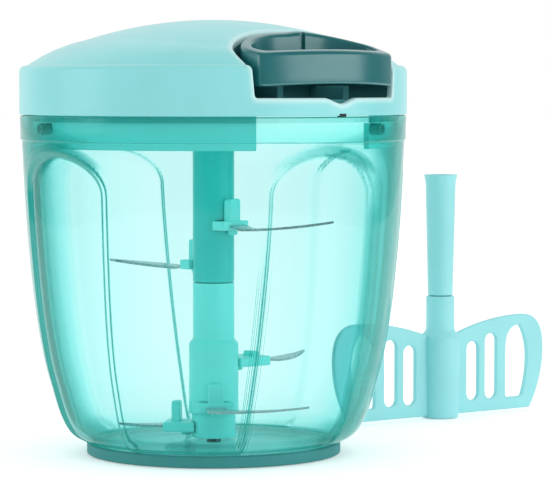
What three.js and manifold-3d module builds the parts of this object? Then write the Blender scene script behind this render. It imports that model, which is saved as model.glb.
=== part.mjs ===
// A pull-cord food chopper: a clear bowl on a non-slip base, a lid that holds the cord drive and its
// pull handle, five blades on a two-part stem, and a mixing paddle that stands beside the bowl.
// Millimetres, +Z up. The origin is the centre of the underside. The handle pulls toward -Y.
// A turn is counted in degrees from -Y toward +X.

import * as THREE from 'three';
import { mergeVertices } from 'three/addons/utils/BufferGeometryUtils.js';
import Module from 'manifold-3d';

const wasm = await Module();
wasm.setup();

// Clearances and tools
const GAP = 0.3; // between pieces that touch or run on each other
const OVERRUN = 2; // how far a cutting tool passes the face it cuts
const ROUND_SEGMENTS = 40; // facets round the bowl and the lid
const SMALL_SEGMENTS = 20; // facets round stems, pins and bosses
const TINY_SEGMENTS = 12; // facets round screws and the cord
const DRUM_SEGMENTS = 24; // facets round the spool and the spring's cup

// Non-slip base
const BASE_INSET = 0.2; // how far the base stands in from the bowl's foot
const BASE_HEIGHT = 4;
const BASE_FLOOR = 1.6;
const BASE_WALL = 3;

// Bowl
const BOWL_HEIGHT = 117; // the rim's top above the table
const BOWL_RIM_RADIUS = 66.6;
const BOWL_FOOT_RADIUS = 44.2;
const BOWL_WALL = 2.4;
const BOWL_FLOOR = 2.7;
const RIM_BAND_HEIGHT = 8.5;
const RIM_BAND_STEP = 0.5; // how far the rim band stands out from the side
// The bowl's side from foot to rim band: shares of its rise, and of its growth in radius.
const SIDE_SHARES = [
  [0, 0], [0.03, 0.24], [0.09, 0.41], [0.18, 0.545], [0.29, 0.68], [0.465, 0.813], [0.725, 0.93], [1, 1],
];
const SIDE_STEPS = 9;
const PIN_RADIUS = 2.2;
const PIN_BOSS_WALL = 1.9;
const PIN_BOSS_HEIGHT = 7.4;
const PIN_SEAT = 8.5; // how deep the pin sits in its boss
const PIN_REACH = 12; // how far it stands out of the boss
const PIN_TIP = 0.8; // chamfer of the pin's end

// Arched panels pressed into the bowl's side
const ARCH_COUNT = 4;
const ARCH_HALF_ANGLE = 20.3;
const ARCH_FIRST_TURN = -4.5;
const ARCH_DEPTH = 1.1;
const ARCH_DROP = 13; // top of the arches below the bowl's rim
const ARCH_RISE = 13; // height of the round top above the straight edges
const ARCH_TOP_STEPS = 4;
const ARCH_COLUMNS = 6;

// Bayonet lugs inside the rim, and the lid's slots for them
const LUG_COUNT = 3;
const LUG_FIRST_TURN = 20.5;
const LUG_RADIUS = 2;
const LUG_REACH = 3.3; // how far a lug stands in from the bowl's inner face
const LUG_DROP = 4.4; // from the rim's top down to the lug's middle
const SLOT_CLEARANCE = 0.6;
const LOCK_ANGLE = 12; // turn of the lid from free to locked
const LOCK_SPARE_ANGLE = 1;

// Lid
const LID_OVERHANG = 0.2; // how far the lid stands out past the bowl's rim band
const LID_WALL = 2.4;
const LID_SHOULDER_DROP = 2.6; // height of the rounded shoulder
const LID_SHOULDER_WIDTH = 2.8;
const LID_BAND_HEIGHT = 14.4; // straight side of the lid, up to the start of its shoulder
const CROWN_ROOM = 6.5; // between the spring's cup and the inside of the hump
const CROWN_BEND_RADIUS = 138; // radius of curvature of the hump
const CREASE_INSET = 19.6; // from the shoulder in to where the hump meets the outer dome
const CREASE_SWEEP = 11; // how much further out the crease runs beside the handle
const CREASE_SLOPE = 0.2; // slope of the outer dome just outside the crease
const MARK_WIDTH = 3; // the dark locking mark in the lid's lower edge
const MARK_HEIGHT = 0.9;
const MARK_SIDE = 1.8; // the mark and the dip above it lie this far beside the handle's line

// Handle and its recess
const HANDLE_HALF_WIDTH = 28.4;
const HANDLE_ASIDE = 1.2; // the loose handle rests this far to the right in its recess
const HANDLE_WALL = 3.8;
const HANDLE_FRONT_INSET = 0.6; // how far its front stands in from the lid's edge
const HANDLE_SIDE = 12.4; // from its front back to where the ring starts to round
const HANDLE_BOTTOM = 10.8; // above the bowl's rim
const HANDLE_DRAFT = 1; // how far the front face leans out toward its bottom
const HANDLE_CORNER = 2.2;
const HANDLE_INNER_CORNER = 3.5;
const HANDLE_CURVE_STEPS = 14;
const HANDLE_FLUSH_RADIUS = 29.5; // inside this the handle's top follows the hump, outside a straight slope
const HANDLE_CROWN = 0.9; // how much higher the handle is at its middle than at its sides
const HANDLE_TOP_DROP = 0.2; // the handle's top lies this far under the hump
const RECESS_CLEARANCE = 1.6;
const RECESS_BOTTOM = 6.2; // lip of the recess above the bowl's rim
const RECESS_DIP_WIDTH = 15;
const RECESS_DIP_DEPTH = 1.9;
const LINER_FLOOR_DROP = 0.6; // the liner's floor lies this far under the lip
const LINER_WALL = 1.6;
const LINER_RIB_SHARES = [-0.5, 0.5]; // places of the floor ribs, as shares of the handle's half width
const LINER_RIB_WIDTH = 2.4;

// Lid base: the plate under the drive and the skirt that goes into the bowl
const PLATE_THICKNESS = 2;
const SKIRT_WALL = 2;
const SKIRT_DEPTH = 11; // below the bowl's rim
const SKIRT_GAP_TURN = -4.5;
const SKIRT_GAP_HALF_ANGLE = 20.5;
const SEAL_HEIGHT = 2;
const SEAL_WALL = 1.4;

// Screws that hold the plate to the lid
const SCREW_TURNS = [75, 140, 220, 285];
const SCREW_INSET = 14.8; // from the lid's edge in to the screws
const SCREW_RADIUS = 1.4;
const SCREW_LENGTH = 10;
const SCREW_HEAD_RADIUS = 2.8;
const SCREW_HEAD_HEIGHT = 1.8;
const SCREW_SLOT_WIDTH = 0.8;
const SCREW_BOSS_WALL = 2.1;

// Drive: axle, spool, cord, recoil spring and the hub that turns the stem
const AXLE_RADIUS = 2.5;
const AXLE_BOSS_WALL = 2;
const AXLE_SEAT = 3.6; // how deep the axle sits in its boss
const HUB_NECK_RADIUS = 8.2;
const HUB_FLANGE_WIDTH = 5.8; // how far the hub's flange stands out past its neck
const HUB_FLANGE_HEIGHT = 2.4;
const RATCHET_RADIUS = 8;
const RATCHET_TOOTH = 1.3;
const RATCHET_COUNT = 12;
const RATCHET_HEIGHT = 2.6;
const SPOOL_FLANGE_RADIUS = 24;
const SPOOL_FLANGE_THICKNESS = 1.7;
const SPOOL_HEIGHT = 11.2;
const SPOOL_POCKET_ROOM = 0.7; // for the tongues, between the ratchet's teeth and the pocket's wall
const SPOOL_CORE_WALL = 1.6;
const SPOOL_NECK_WALL = 2.2;
const SPOOL_CLEARANCE = 8; // between the spool's flanges and the recess liner
const TONGUE_WIDTH = 3;
const CORD_RADIUS = 1;
const CORD_WIND_DEPTH = 1.6; // depth of the wound cord on the spool's core
const CORD_RISE = 7.7; // height of the cord's run above the spool's underside
const CORD_STEPS = 12;
const CUP_INSET = 3; // how far the spring's cup stands in from the spool's flange
const CUP_HEIGHT = 7;
const CUP_WALL = 1.4;
const SPRING_ROOM = 0.7; // over the spring's strip
const SPRING_THICKNESS = 0.6;
const SPRING_TURNS = 4;
const SPRING_STEPS_PER_TURN = 12;
const BUSH_WALL = 1;
const BUSH_LENGTH = 3;
const ANCHOR_WALL = 0.9;
const ANCHOR_LENGTH = 3;
const GROOVE_WIDTH = 1.6;
const GROOVE_DEPTH = 1.3;
const GROOVE_SIDE = 7.3; // the groove lies this far beside the lid's middle

// Coupling between the hub's stub and a stem: three lobes that leave the lid room to turn
const LOBE_COUNT = 3;
const STUB_CORE_RADIUS = 2.6;
const STUB_LOBE_RADIUS = 4;
const STUB_LOBE_ANGLE = 30;
const SOCKET_CLEARANCE = 0.4;
const SOCKET_LOBE_ANGLE = 62;
const STUB_LENGTH = 25; // below the hub's neck
const STUB_TIP_GAP = 1.5;

// Stem in two parts
const STEM_TOP_DROP = 2.5; // the stem's top below the bowl's rim
const STEM_RADIUS = 7.2;
const STEM_JOINT_HEIGHT = 59;
const STEM_FLOOR_GAP = 0.6; // between the bowl's floor and the stem
const STEM_STEP_HEIGHT = 38; // below this the stem is wider
const STEM_STEP = 1.4;
const STEM_NARROW_HEIGHT = 13.6; // below this it is narrower again
const STEM_LOW_STEP = 1;
const SPIGOT_WALL = 1.7; // wall of the stem round the joint's spigot
const SPIGOT_SIDES = 6;
const SPIGOT_LENGTH = 3.5;
const PIN_CLEARANCE = 0.4;

// Blades and the clips that hold them on the stem
const BLADE_THICKNESS = 0.8;
const BLADE_TANG_WIDTH = 6.6;
const BLADE_WAIST = 1.6; // how much of the tang shows outside the clip
const CLIP_THICKNESS = 3.2;
const CLIP_SEAT_DEPTH = 1.9; // depth of the flat on the stem in which the clip sits
const CLIP_GRIP = 4; // how much of the blade's tang the clip holds
const CLIP_WIDTH = 13;
const CLIP_SLOT_CLEARANCE = 0.3;
const PEG_WIDTH = 5.4;
const PEG_DEPTH = 3;
const PEG_INSET = 5.5; // from the clip's end back to its peg, where the stem leaves that much room
const RIVET_RADIUS = 1.7; // round head under the clip
const RIVET_HEIGHT = 1.6;
const STEM_WIDE_RADIUS = STEM_RADIUS + STEM_STEP;
const STEM_LOW_RADIUS = STEM_WIDE_RADIUS - STEM_LOW_STEP;
// Each blade: its height as a share of the bowl's, its reach as a share of the bowl's inner radius there, its
// turn at rest and the radius of the stem behind its clip. sweep is how far the point lies beside the blade's
// own line and rise how far it bends up, as shares of the reach. clip is the clip's reach as a share of the
// stem's radius, and peg its peg's height as a share of the clip's thickness.
const BLADE_SHARES = [
  {
    height: 0.6752, reach: 0.8065, turn: 8, sweep: 0.14, rise: 0.07,
    stem: STEM_RADIUS, clip: 1.53, peg: 2.4,
  },
  {
    height: 0.5556, reach: 0.821, turn: 182, sweep: 0.14, rise: 0.03,
    stem: STEM_RADIUS, clip: 1.53, peg: 2.2,
  },
  {
    height: 0.265, reach: 0.8414, turn: 90, sweep: 0.14, rise: 0.03,
    stem: STEM_WIDE_RADIUS, clip: 2.4, peg: 0.5,
  },
  {
    height: 0.1402, reach: 0.734, turn: -34, sweep: 0.82, rise: 0.04,
    stem: STEM_WIDE_RADIUS, clip: 1.45, peg: 2.1,
  },
  {
    height: 0.0769, reach: 0.69, turn: 223, sweep: 0.14, rise: 0.03,
    stem: STEM_LOW_RADIUS, clip: 2.24, peg: 2.2,
  },
];
// The two curves of a blade, as shares of its reach: where each one's middle point lies along the blade and
// beside it, and how far the sweep moves it.
const BLADE_BACK_SHARES = { along: 0.6, alongSweep: 0.29, beside: -0.17, besideSweep: 0 };
const BLADE_EDGE_SHARES = { along: 0.65, alongSweep: -0.15, beside: 0.085, besideSweep: 0.155 };

// Mixing paddle, standing on the table beside the bowl
const PADDLE_DISTANCE = 131.7; // from the chopper's axis to the paddle's
const PADDLE_TURN = 100.9; // direction of the paddle from the chopper's axis
const PADDLE_WING_ANGLE = -2.5; // turn of its wings about its own axis
const HUB_RADIUS = 7.85;
const HUB_FOOT_RADIUS = 7;
const HUB_HEIGHT = 31;
const COLLAR_RADIUS = 5.4;
const COLLAR_TOP = 46.6;
const TUBE_BOTTOM_RADIUS = 4.75;
const TUBE_TOP_RADIUS = 5.8;
const TUBE_HOLD = 8.4; // how far the drive's stub reaches into the tube when the paddle is in the bowl
const TUBE_LIP = 0.65; // how far the lip stands out from the tube
const TUBE_LIP_HEIGHT = 3;
const TUBE_SOCKET_DEPTH = 14;
const TUBE_SPIGOT_RADIUS = 3;
const TUBE_SPIGOT_LENGTH = 7;
const WING_THICKNESS = 2;
const WING_BOTTOM = 0.8;
const WING_REACH = 52;
const WING_PEAK_HEIGHT = 37.7;
const WING_ROOT_HEIGHT = 30.4;
const WING_CURVE_STEPS = 6;
const WING_SLOT_WIDTH = 5.9;
const WING_SLOT_BOTTOM = 5.5;
// Where the wing's foot ends and where it is highest, as shares of its reach, and how high it is widest, as a
// share of its peak.
const WING_FOOT_SHARE = 0.865;
const WING_PEAK_SHARE = 0.788;
const WING_WIDEST_SHARE = 0.637;
// Two plain slots in each wing and a round-backed one next to the tip: places along the wing as shares of its
// reach, heights as shares of its peak.
const WING_SLOT_SHARES = [
  { middle: 0.302, top: 0.753 },
  { middle: 0.481, top: 0.822 },
];
const TIP_SLOT_SHARES = { inner: 0.627, foot: 0.788, outer: 0.904, top: 0.891, bulge: 0.637 };

// Places worked out from the sizes above
const RIM = BOWL_HEIGHT;
const BASE_RADIUS = BOWL_FOOT_RADIUS - BASE_INSET;
const BOWL_FOOT_BOTTOM = BASE_FLOOR + GAP;
const BOWL_FOOT_TOP = BASE_HEIGHT + GAP;
const BOWL_FLOOR_TOP = BOWL_FOOT_BOTTOM + BOWL_FLOOR;
const BOWL_SIDE_RADIUS = BOWL_RIM_RADIUS - RIM_BAND_STEP; // where the curved side meets the rim band
const BOWL_INNER_RIM = BOWL_RIM_RADIUS - BOWL_WALL;
const BAND_BOTTOM = RIM - RIM_BAND_HEIGHT;
const ARCH_SPRING = RIM - ARCH_DROP - ARCH_RISE; // where the straight edges end and the round top starts
const LUG_HEIGHT = RIM - LUG_DROP;
const PIN_BOSS_RADIUS = PIN_RADIUS + GAP + PIN_BOSS_WALL;
const PIN_BOSS_TOP = BOWL_FLOOR_TOP + PIN_BOSS_HEIGHT;
const PIN_TOP = PIN_BOSS_TOP + PIN_REACH;
const LID_RADIUS = BOWL_RIM_RADIUS + LID_OVERHANG;
const LID_BOTTOM = RIM + GAP;
const SKIRT_RADIUS = BOWL_INNER_RIM - SEAL_WALL - 2 * GAP;
const SCREW_CIRCLE = LID_RADIUS - SCREW_INSET;
const PLATE_TOP = LID_BOTTOM + PLATE_THICKNESS;
const SHOULDER_BOTTOM = RIM + LID_BAND_HEIGHT;
const SHOULDER_TOP = SHOULDER_BOTTOM + LID_SHOULDER_DROP;
const SHOULDER_RADIUS = LID_RADIUS - LID_SHOULDER_WIDTH;
const CREASE_RADIUS = SHOULDER_RADIUS - CREASE_INSET;
const HUB_FLANGE_TOP = PLATE_TOP + GAP + HUB_FLANGE_HEIGHT;
const SPOOL_BOTTOM = HUB_FLANGE_TOP + GAP;
const SPOOL_TOP = SPOOL_BOTTOM + SPOOL_HEIGHT;
const SPOOL_BORE = AXLE_RADIUS + GAP;
const SPOOL_POCKET_RADIUS = RATCHET_RADIUS + GAP + SPOOL_POCKET_ROOM;
const SPOOL_CORE_RADIUS = SPOOL_POCKET_RADIUS + SPOOL_CORE_WALL;
const CORD_WIND_RADIUS = SPOOL_CORE_RADIUS + GAP + CORD_WIND_DEPTH;
const CORD_Z = SPOOL_BOTTOM + CORD_RISE;
const CORD_SIDE = CORD_WIND_RADIUS + GAP + CORD_RADIUS; // the cord leaves the spool on this side of the axis
const CUP_RADIUS = SPOOL_FLANGE_RADIUS - CUP_INSET;
const CUP_BOTTOM = SPOOL_TOP + GAP;
const CUP_TOP = CUP_BOTTOM + CUP_HEIGHT;
const CROWN_TOP = CUP_TOP + CROWN_ROOM + LID_WALL;
const BUSH_RADIUS = CORD_RADIUS + GAP + BUSH_WALL;
const ANCHOR_RADIUS = CORD_RADIUS + GAP + ANCHOR_WALL;
const RECESS_LIP = RIM + RECESS_BOTTOM;
const LINER_FLOOR = RECESS_LIP - LINER_FLOOR_DROP;
const HANDLE_FLOOR = RIM + HANDLE_BOTTOM;
const HANDLE_FRONT_RADIUS = LID_RADIUS - HANDLE_FRONT_INSET;
const HANDLE_BACK = SPOOL_FLANGE_RADIUS + SPOOL_CLEARANCE + LINER_WALL + RECESS_CLEARANCE;
const HANDLE_END_AXIAL = HANDLE_FRONT_RADIUS - HANDLE_SIDE; // centre of the round back
const HANDLE_BACK_DEPTH = HANDLE_END_AXIAL - HANDLE_BACK;
const STEM_TOP = RIM - STEM_TOP_DROP;
const STEM_BOTTOM = BOWL_FLOOR_TOP + STEM_FLOOR_GAP;
const SPIGOT_RADIUS = STEM_RADIUS - SPIGOT_WALL - 2 * GAP;
const NECK_BOTTOM = STEM_TOP + GAP;
const STUB_BOTTOM = NECK_BOTTOM - STUB_LENGTH;
const SOCKET_BOTTOM = STUB_BOTTOM - STUB_TIP_GAP;
const TUBE_TOP = STUB_BOTTOM - STEM_BOTTOM + TUBE_HOLD;

// Colours
const MINT = 0x9be3e3;
const DARK_TEAL = 0x1e7376;
const CLEAR_TEAL = 0x7fe3d4;
const STEM_TEAL = 0x5fd6c8;
const STEEL = 0xc9ced2;
const CORD_WHITE = 0xe8ecea;
const SEAL_TEAL = 0x8fe0d6;

function finish(colour, roughness, metalness = 0) {
  return new THREE.MeshStandardMaterial({ color: colour, roughness, metalness });
}

// Solids: a geometry becomes a solid to join and cut, and a solid becomes a named mesh.

function solid(geometry) {
  const bare = geometry.index ? geometry.toNonIndexed() : geometry.clone();
  bare.deleteAttribute('normal');
  bare.deleteAttribute('uv');
  const merged = mergeVertices(bare, GAP / 1000);
  const index = merged.index.array;
  const corners = [];
  for (let i = 0; i < index.length; i += 3) {
    const [a, b, c] = [index[i], index[i + 1], index[i + 2]];
    if (a !== b && b !== c && c !== a) corners.push(a, b, c);
  }
  return new wasm.Manifold(new wasm.Mesh({
    numProp: 3,
    vertProperties: new Float32Array(merged.attributes.position.array),
    triVerts: new Uint32Array(corners),
  }));
}

function piece(name, shape, material) {
  const { vertProperties, triVerts } = shape.getMesh();
  const geometry = new THREE.BufferGeometry();
  geometry.setAttribute('position', new THREE.BufferAttribute(vertProperties, 3));
  geometry.setIndex(new THREE.BufferAttribute(triVerts, 1));
  geometry.computeVertexNormals();
  const mesh = new THREE.Mesh(geometry, material);
  mesh.name = name;
  return mesh;
}

function around(radius, turn, z = 0) {
  const angle = THREE.MathUtils.degToRad(turn);
  return new THREE.Vector3(radius * Math.sin(angle), -radius * Math.cos(angle), z);
}

// A body of revolution about Z from [radius, height] points that start and end on the axis or close.
function turned(points, segments = SMALL_SEGMENTS) {
  const profile = points.map(([radius, height]) => new THREE.Vector2(radius, height));
  const geometry = new THREE.LatheGeometry(profile, segments);
  geometry.rotateX(Math.PI / 2);
  return solid(geometry);
}

function disc(radius, bottom, top, segments = SMALL_SEGMENTS) {
  return turned([[0, bottom], [radius, bottom], [radius, top], [0, top]], segments);
}

function ring(inner, outer, bottom, top, segments = SMALL_SEGMENTS) {
  return turned([[inner, bottom], [outer, bottom], [outer, top], [inner, top], [inner, bottom]], segments);
}

function block(from, to) {
  const size = to.clone().sub(from);
  const geometry = new THREE.BoxGeometry(size.x, size.y, size.z);
  const middle = from.clone().add(to).divideScalar(2);
  return solid(geometry.translate(middle.x, middle.y, middle.z));
}

// A plan outline in X and Y pushed up from one height to another.
function upright(outline, bottom, top, curveSegments = SMALL_SEGMENTS) {
  const depth = top - bottom;
  const geometry = new THREE.ExtrudeGeometry(outline, { depth, bevelEnabled: false, curveSegments });
  return solid(geometry.translate(0, 0, bottom));
}

// A round bar from one point to another.
function bar(from, to, radius, segments = TINY_SEGMENTS) {
  const length = from.distanceTo(to);
  const geometry = new THREE.CylinderGeometry(radius, radius, length, segments);
  geometry.translate(0, length / 2, 0);
  const up = new THREE.Vector3(0, 1, 0);
  const along = to.clone().sub(from).normalize();
  geometry.applyQuaternion(new THREE.Quaternion().setFromUnitVectors(up, along));
  return solid(geometry.translate(from.x, from.y, from.z));
}

// A closed body from a row of closed loops, all with the same number of points.
function skin(rings) {
  const count = rings[0].length;
  const positions = rings.flat().flatMap((point) => [point.x, point.y, point.z]);
  const corners = [];
  for (let row = 0; row + 1 < rings.length; row += 1) {
    for (let k = 0; k < count; k += 1) {
      const a = row * count + k;
      const b = row * count + ((k + 1) % count);
      corners.push(a, b, b + count, a, b + count, a + count);
    }
  }
  const last = (rings.length - 1) * count;
  for (let k = 1; k + 1 < count; k += 1) {
    corners.push(0, k + 1, k, last, last + k, last + k + 1);
  }
  const geometry = new THREE.BufferGeometry();
  geometry.setAttribute('position', new THREE.Float32BufferAttribute(positions, 3));
  geometry.setIndex(corners);
  return solid(geometry);
}

// A curved block about the Z axis: at each height in levels it spans inner to outer radius and a half angle.
function curvedBlock(levels, turn, columns) {
  const rings = levels.map(({ z, inner, outer, half }) => {
    const loop = [];
    for (let k = 0; k <= columns; k += 1) loop.push(around(outer, turn - half + (2 * half * k) / columns, z));
    for (let k = columns; k >= 0; k -= 1) loop.push(around(inner, turn - half + (2 * half * k) / columns, z));
    return loop;
  });
  return skin(rings);
}

// Non-slip base

function baseShape() {
  const inner = BASE_RADIUS - BASE_WALL;
  return turned([
    [0, 0], [BASE_RADIUS, 0], [BASE_RADIUS, BASE_HEIGHT], [inner, BASE_HEIGHT],
    [inner, BASE_FLOOR], [0, BASE_FLOOR],
  ], ROUND_SEGMENTS);
}

// Bowl

function sidePoints() {
  const rise = BAND_BOTTOM - BOWL_FOOT_TOP;
  const growth = BOWL_SIDE_RADIUS - BOWL_FOOT_RADIUS;
  const points = SIDE_SHARES.map(([up, out]) => (
    new THREE.Vector2(BOWL_FOOT_RADIUS + out * growth, BOWL_FOOT_TOP + up * rise)
  ));
  return new THREE.SplineCurve(points).getPoints(SIDE_STEPS);
}

function inwardOf(points, distance) {
  return points.map((point, k) => {
    const before = points[Math.max(k - 1, 0)];
    const after = points[Math.min(k + 1, points.length - 1)];
    const along = after.clone().sub(before).normalize();
    return new THREE.Vector2(point.x - along.y * distance, point.y + along.x * distance);
  });
}

function sideRadiusAt(z) {
  const points = sidePoints();
  const next = points.findIndex((point) => point.y >= z);
  if (next <= 0) return points[next < 0 ? points.length - 1 : 0].x;
  const [low, high] = [points[next - 1], points[next]];
  return low.x + ((high.x - low.x) * (z - low.y)) / (high.y - low.y);
}

function archCut(turn) {
  const outer = BOWL_RIM_RADIUS + OVERRUN;
  const heights = [BOWL_FOOT_TOP - OVERRUN];
  heights.push(...sidePoints().map((point) => point.y).filter((z) => z < ARCH_SPRING));
  const levels = heights.map((z) => ({ z, half: ARCH_HALF_ANGLE }));
  for (let k = 0; k <= ARCH_TOP_STEPS; k += 1) {
    const lean = (Math.PI * k) / (2 * ARCH_TOP_STEPS + 1);
    levels.push({ z: ARCH_SPRING + ARCH_RISE * Math.sin(lean), half: ARCH_HALF_ANGLE * Math.cos(lean) });
  }
  const cut = levels.map(({ z, half }) => ({ z, half, outer, inner: sideRadiusAt(z) - ARCH_DEPTH }));
  return curvedBlock(cut, turn, ARCH_COLUMNS);
}

function bowlShape() {
  const side = sidePoints();
  const inside = inwardOf(side, BOWL_WALL).filter(({ y }) => y > BOWL_FLOOR_TOP + GAP && y < BAND_BOTTOM);
  const footRadius = BASE_RADIUS - BASE_WALL - GAP;
  const profile = [
    [0, BOWL_FOOT_BOTTOM], [footRadius, BOWL_FOOT_BOTTOM], [footRadius, BOWL_FOOT_TOP],
    ...side.map((point) => [point.x, point.y]),
    [BOWL_RIM_RADIUS, BAND_BOTTOM], [BOWL_RIM_RADIUS, RIM], [BOWL_INNER_RIM, RIM],
    [BOWL_INNER_RIM, BAND_BOTTOM],
    ...inside.reverse().filter((_, k) => k % 2 === 0).map((point) => [point.x, point.y]),
    [footRadius - BOWL_WALL, BOWL_FLOOR_TOP], [PIN_BOSS_RADIUS, BOWL_FLOOR_TOP],
    [PIN_BOSS_RADIUS, PIN_BOSS_TOP], [0, PIN_BOSS_TOP],
  ];
  let shape = turned(profile, ROUND_SEGMENTS);
  for (let k = 0; k < ARCH_COUNT; k += 1) {
    shape = shape.subtract(archCut(ARCH_FIRST_TURN + (k * 360) / ARCH_COUNT));
  }
  shape = shape.subtract(disc(PIN_RADIUS + GAP, PIN_BOSS_TOP - PIN_SEAT - GAP, PIN_BOSS_TOP + OVERRUN));
  for (let k = 0; k < LUG_COUNT; k += 1) {
    const turn = LUG_FIRST_TURN + (k * 360) / LUG_COUNT;
    const tip = around(BOWL_INNER_RIM - LUG_REACH, turn, LUG_HEIGHT);
    const root = around(BOWL_INNER_RIM + BOWL_WALL / 2, turn, LUG_HEIGHT);
    shape = shape.add(bar(tip, root, LUG_RADIUS));
  }
  return shape;
}

function pinShape() {
  const bottom = PIN_BOSS_TOP - PIN_SEAT;
  return turned([
    [0, bottom], [PIN_RADIUS, bottom], [PIN_RADIUS, PIN_TOP - PIN_TIP], [PIN_RADIUS - PIN_TIP, PIN_TOP],
    [0, PIN_TOP],
  ]);
}

// Lid cover: a dome whose hump runs further out beside the handle

function creaseRadius(turn) {
  const towardHandle = Math.max(Math.cos(THREE.MathUtils.degToRad(turn)), 0);
  return CREASE_RADIUS + CREASE_SWEEP * towardHandle * towardHandle;
}

function humpHeight(radius) {
  return CROWN_TOP - (radius * radius) / (2 * CROWN_BEND_RADIUS);
}

function domeHeight(radius, turn) {
  const crease = creaseRadius(turn);
  if (radius <= crease) return humpHeight(radius);
  const span = SHOULDER_RADIUS - crease;
  const bend = (humpHeight(crease) - CREASE_SLOPE * span - SHOULDER_TOP) / (span * span);
  const out = radius - crease;
  return humpHeight(crease) - CREASE_SLOPE * out - bend * out * out;
}

// One half profile of the dome in the direction of turn, moved inward by inset.
function domeProfile(turn, inset) {
  const crease = creaseRadius(turn);
  const rim = LID_RADIUS - inset;
  const shares = inset > 0 ? [0.5, 1] : [0.25, 0.5, 0.75, 1]; // the inside needs fewer points
  const hump = shares.map((share) => [share * crease, humpHeight(share * crease) - inset]);
  const edge = SHOULDER_RADIUS - inset;
  const dome = shares.map((share) => {
    const radius = crease + share * (edge - crease);
    return [radius, domeHeight(crease + share * (SHOULDER_RADIUS - crease), turn) - inset];
  });
  const from = new THREE.Vector2(edge, SHOULDER_TOP - inset);
  const corner = new THREE.Vector2(rim, SHOULDER_TOP - inset);
  const to = new THREE.Vector2(rim, SHOULDER_BOTTOM - inset);
  const shoulder = new THREE.QuadraticBezierCurve(from, corner, to).getPoints(inset > 0 ? 1 : 3).slice(1);
  return [...hump, ...dome, ...shoulder.map((point) => [point.x, point.y])];
}

// The solid under the dome, down to bottom.
function underDome(inset, bottom) {
  const profiles = [];
  for (let k = 0; k < ROUND_SEGMENTS; k += 1) {
    const turn = (k * 360) / ROUND_SEGMENTS;
    profiles.push(domeProfile(turn, inset).map(([radius, z]) => around(radius, turn, z)));
  }
  const rings = profiles[0].map((_, row) => profiles.map((profile) => profile[row]));
  const rim = rings[rings.length - 1].map((point) => new THREE.Vector3(point.x, point.y, bottom));
  const shell = [rim, ...rings.reverse()];
  const top = new THREE.Vector3(0, 0, CROWN_TOP - inset);
  shell.push(rings[rings.length - 1].map(() => top));
  return skin(shell);
}

// Plan outlines of the handle ring: a straight-sided D whose back is half an ellipse.
function handleOutline(grow, front, corner) {
  const half = HANDLE_HALF_WIDTH + grow;
  const depth = HANDLE_BACK_DEPTH + grow;
  const outline = new THREE.Shape();
  const sideEnd = Math.max(Math.sqrt(front * front - half * half) - corner, HANDLE_END_AXIAL + GAP);
  const arc = Math.asin((half - corner) / front);
  const foot = { x: front * Math.sin(arc), y: front * Math.cos(arc) };
  outline.moveTo(half, -HANDLE_END_AXIAL);
  outline.absellipse(0, -HANDLE_END_AXIAL, half, depth, 0, Math.PI, false);
  outline.lineTo(-half, -sideEnd);
  outline.quadraticCurveTo(-half, -foot.y, -foot.x, -foot.y);
  outline.absarc(0, 0, front, -Math.PI / 2 - arc, -Math.PI / 2 + arc, false);
  outline.quadraticCurveTo(half, -foot.y, half, -sideEnd);
  outline.closePath();
  return outline;
}

function recessOutline(grow) {
  const half = HANDLE_HALF_WIDTH + grow;
  const front = LID_RADIUS + OVERRUN;
  const outline = new THREE.Shape();
  outline.moveTo(half, -front);
  outline.lineTo(half, -HANDLE_END_AXIAL);
  outline.absellipse(0, -HANDLE_END_AXIAL, half, HANDLE_BACK_DEPTH + grow, 0, Math.PI, false);
  outline.lineTo(-half, -front);
  outline.closePath();
  return outline;
}

function recessDip() {
  const half = RECESS_DIP_WIDTH / 2;
  const outline = new THREE.Shape();
  outline.moveTo(-half, OVERRUN);
  outline.lineTo(-half, 0);
  outline.bezierCurveTo(-half / 2, 0, -half / 2, -RECESS_DIP_DEPTH, 0, -RECESS_DIP_DEPTH);
  outline.bezierCurveTo(half / 2, -RECESS_DIP_DEPTH, half / 2, 0, half, 0);
  outline.lineTo(half, OVERRUN);
  outline.closePath();
  const depth = LID_WALL + 2 * OVERRUN;
  const geometry = new THREE.ExtrudeGeometry(outline, { depth, bevelEnabled: false, curveSegments: 4 });
  geometry.rotateX(Math.PI / 2);
  return solid(geometry.translate(MARK_SIDE, -LID_RADIUS + LID_WALL + OVERRUN, RECESS_LIP));
}

function screwPlace(turn, z) {
  return around(SCREW_CIRCLE, turn, z);
}

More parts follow.
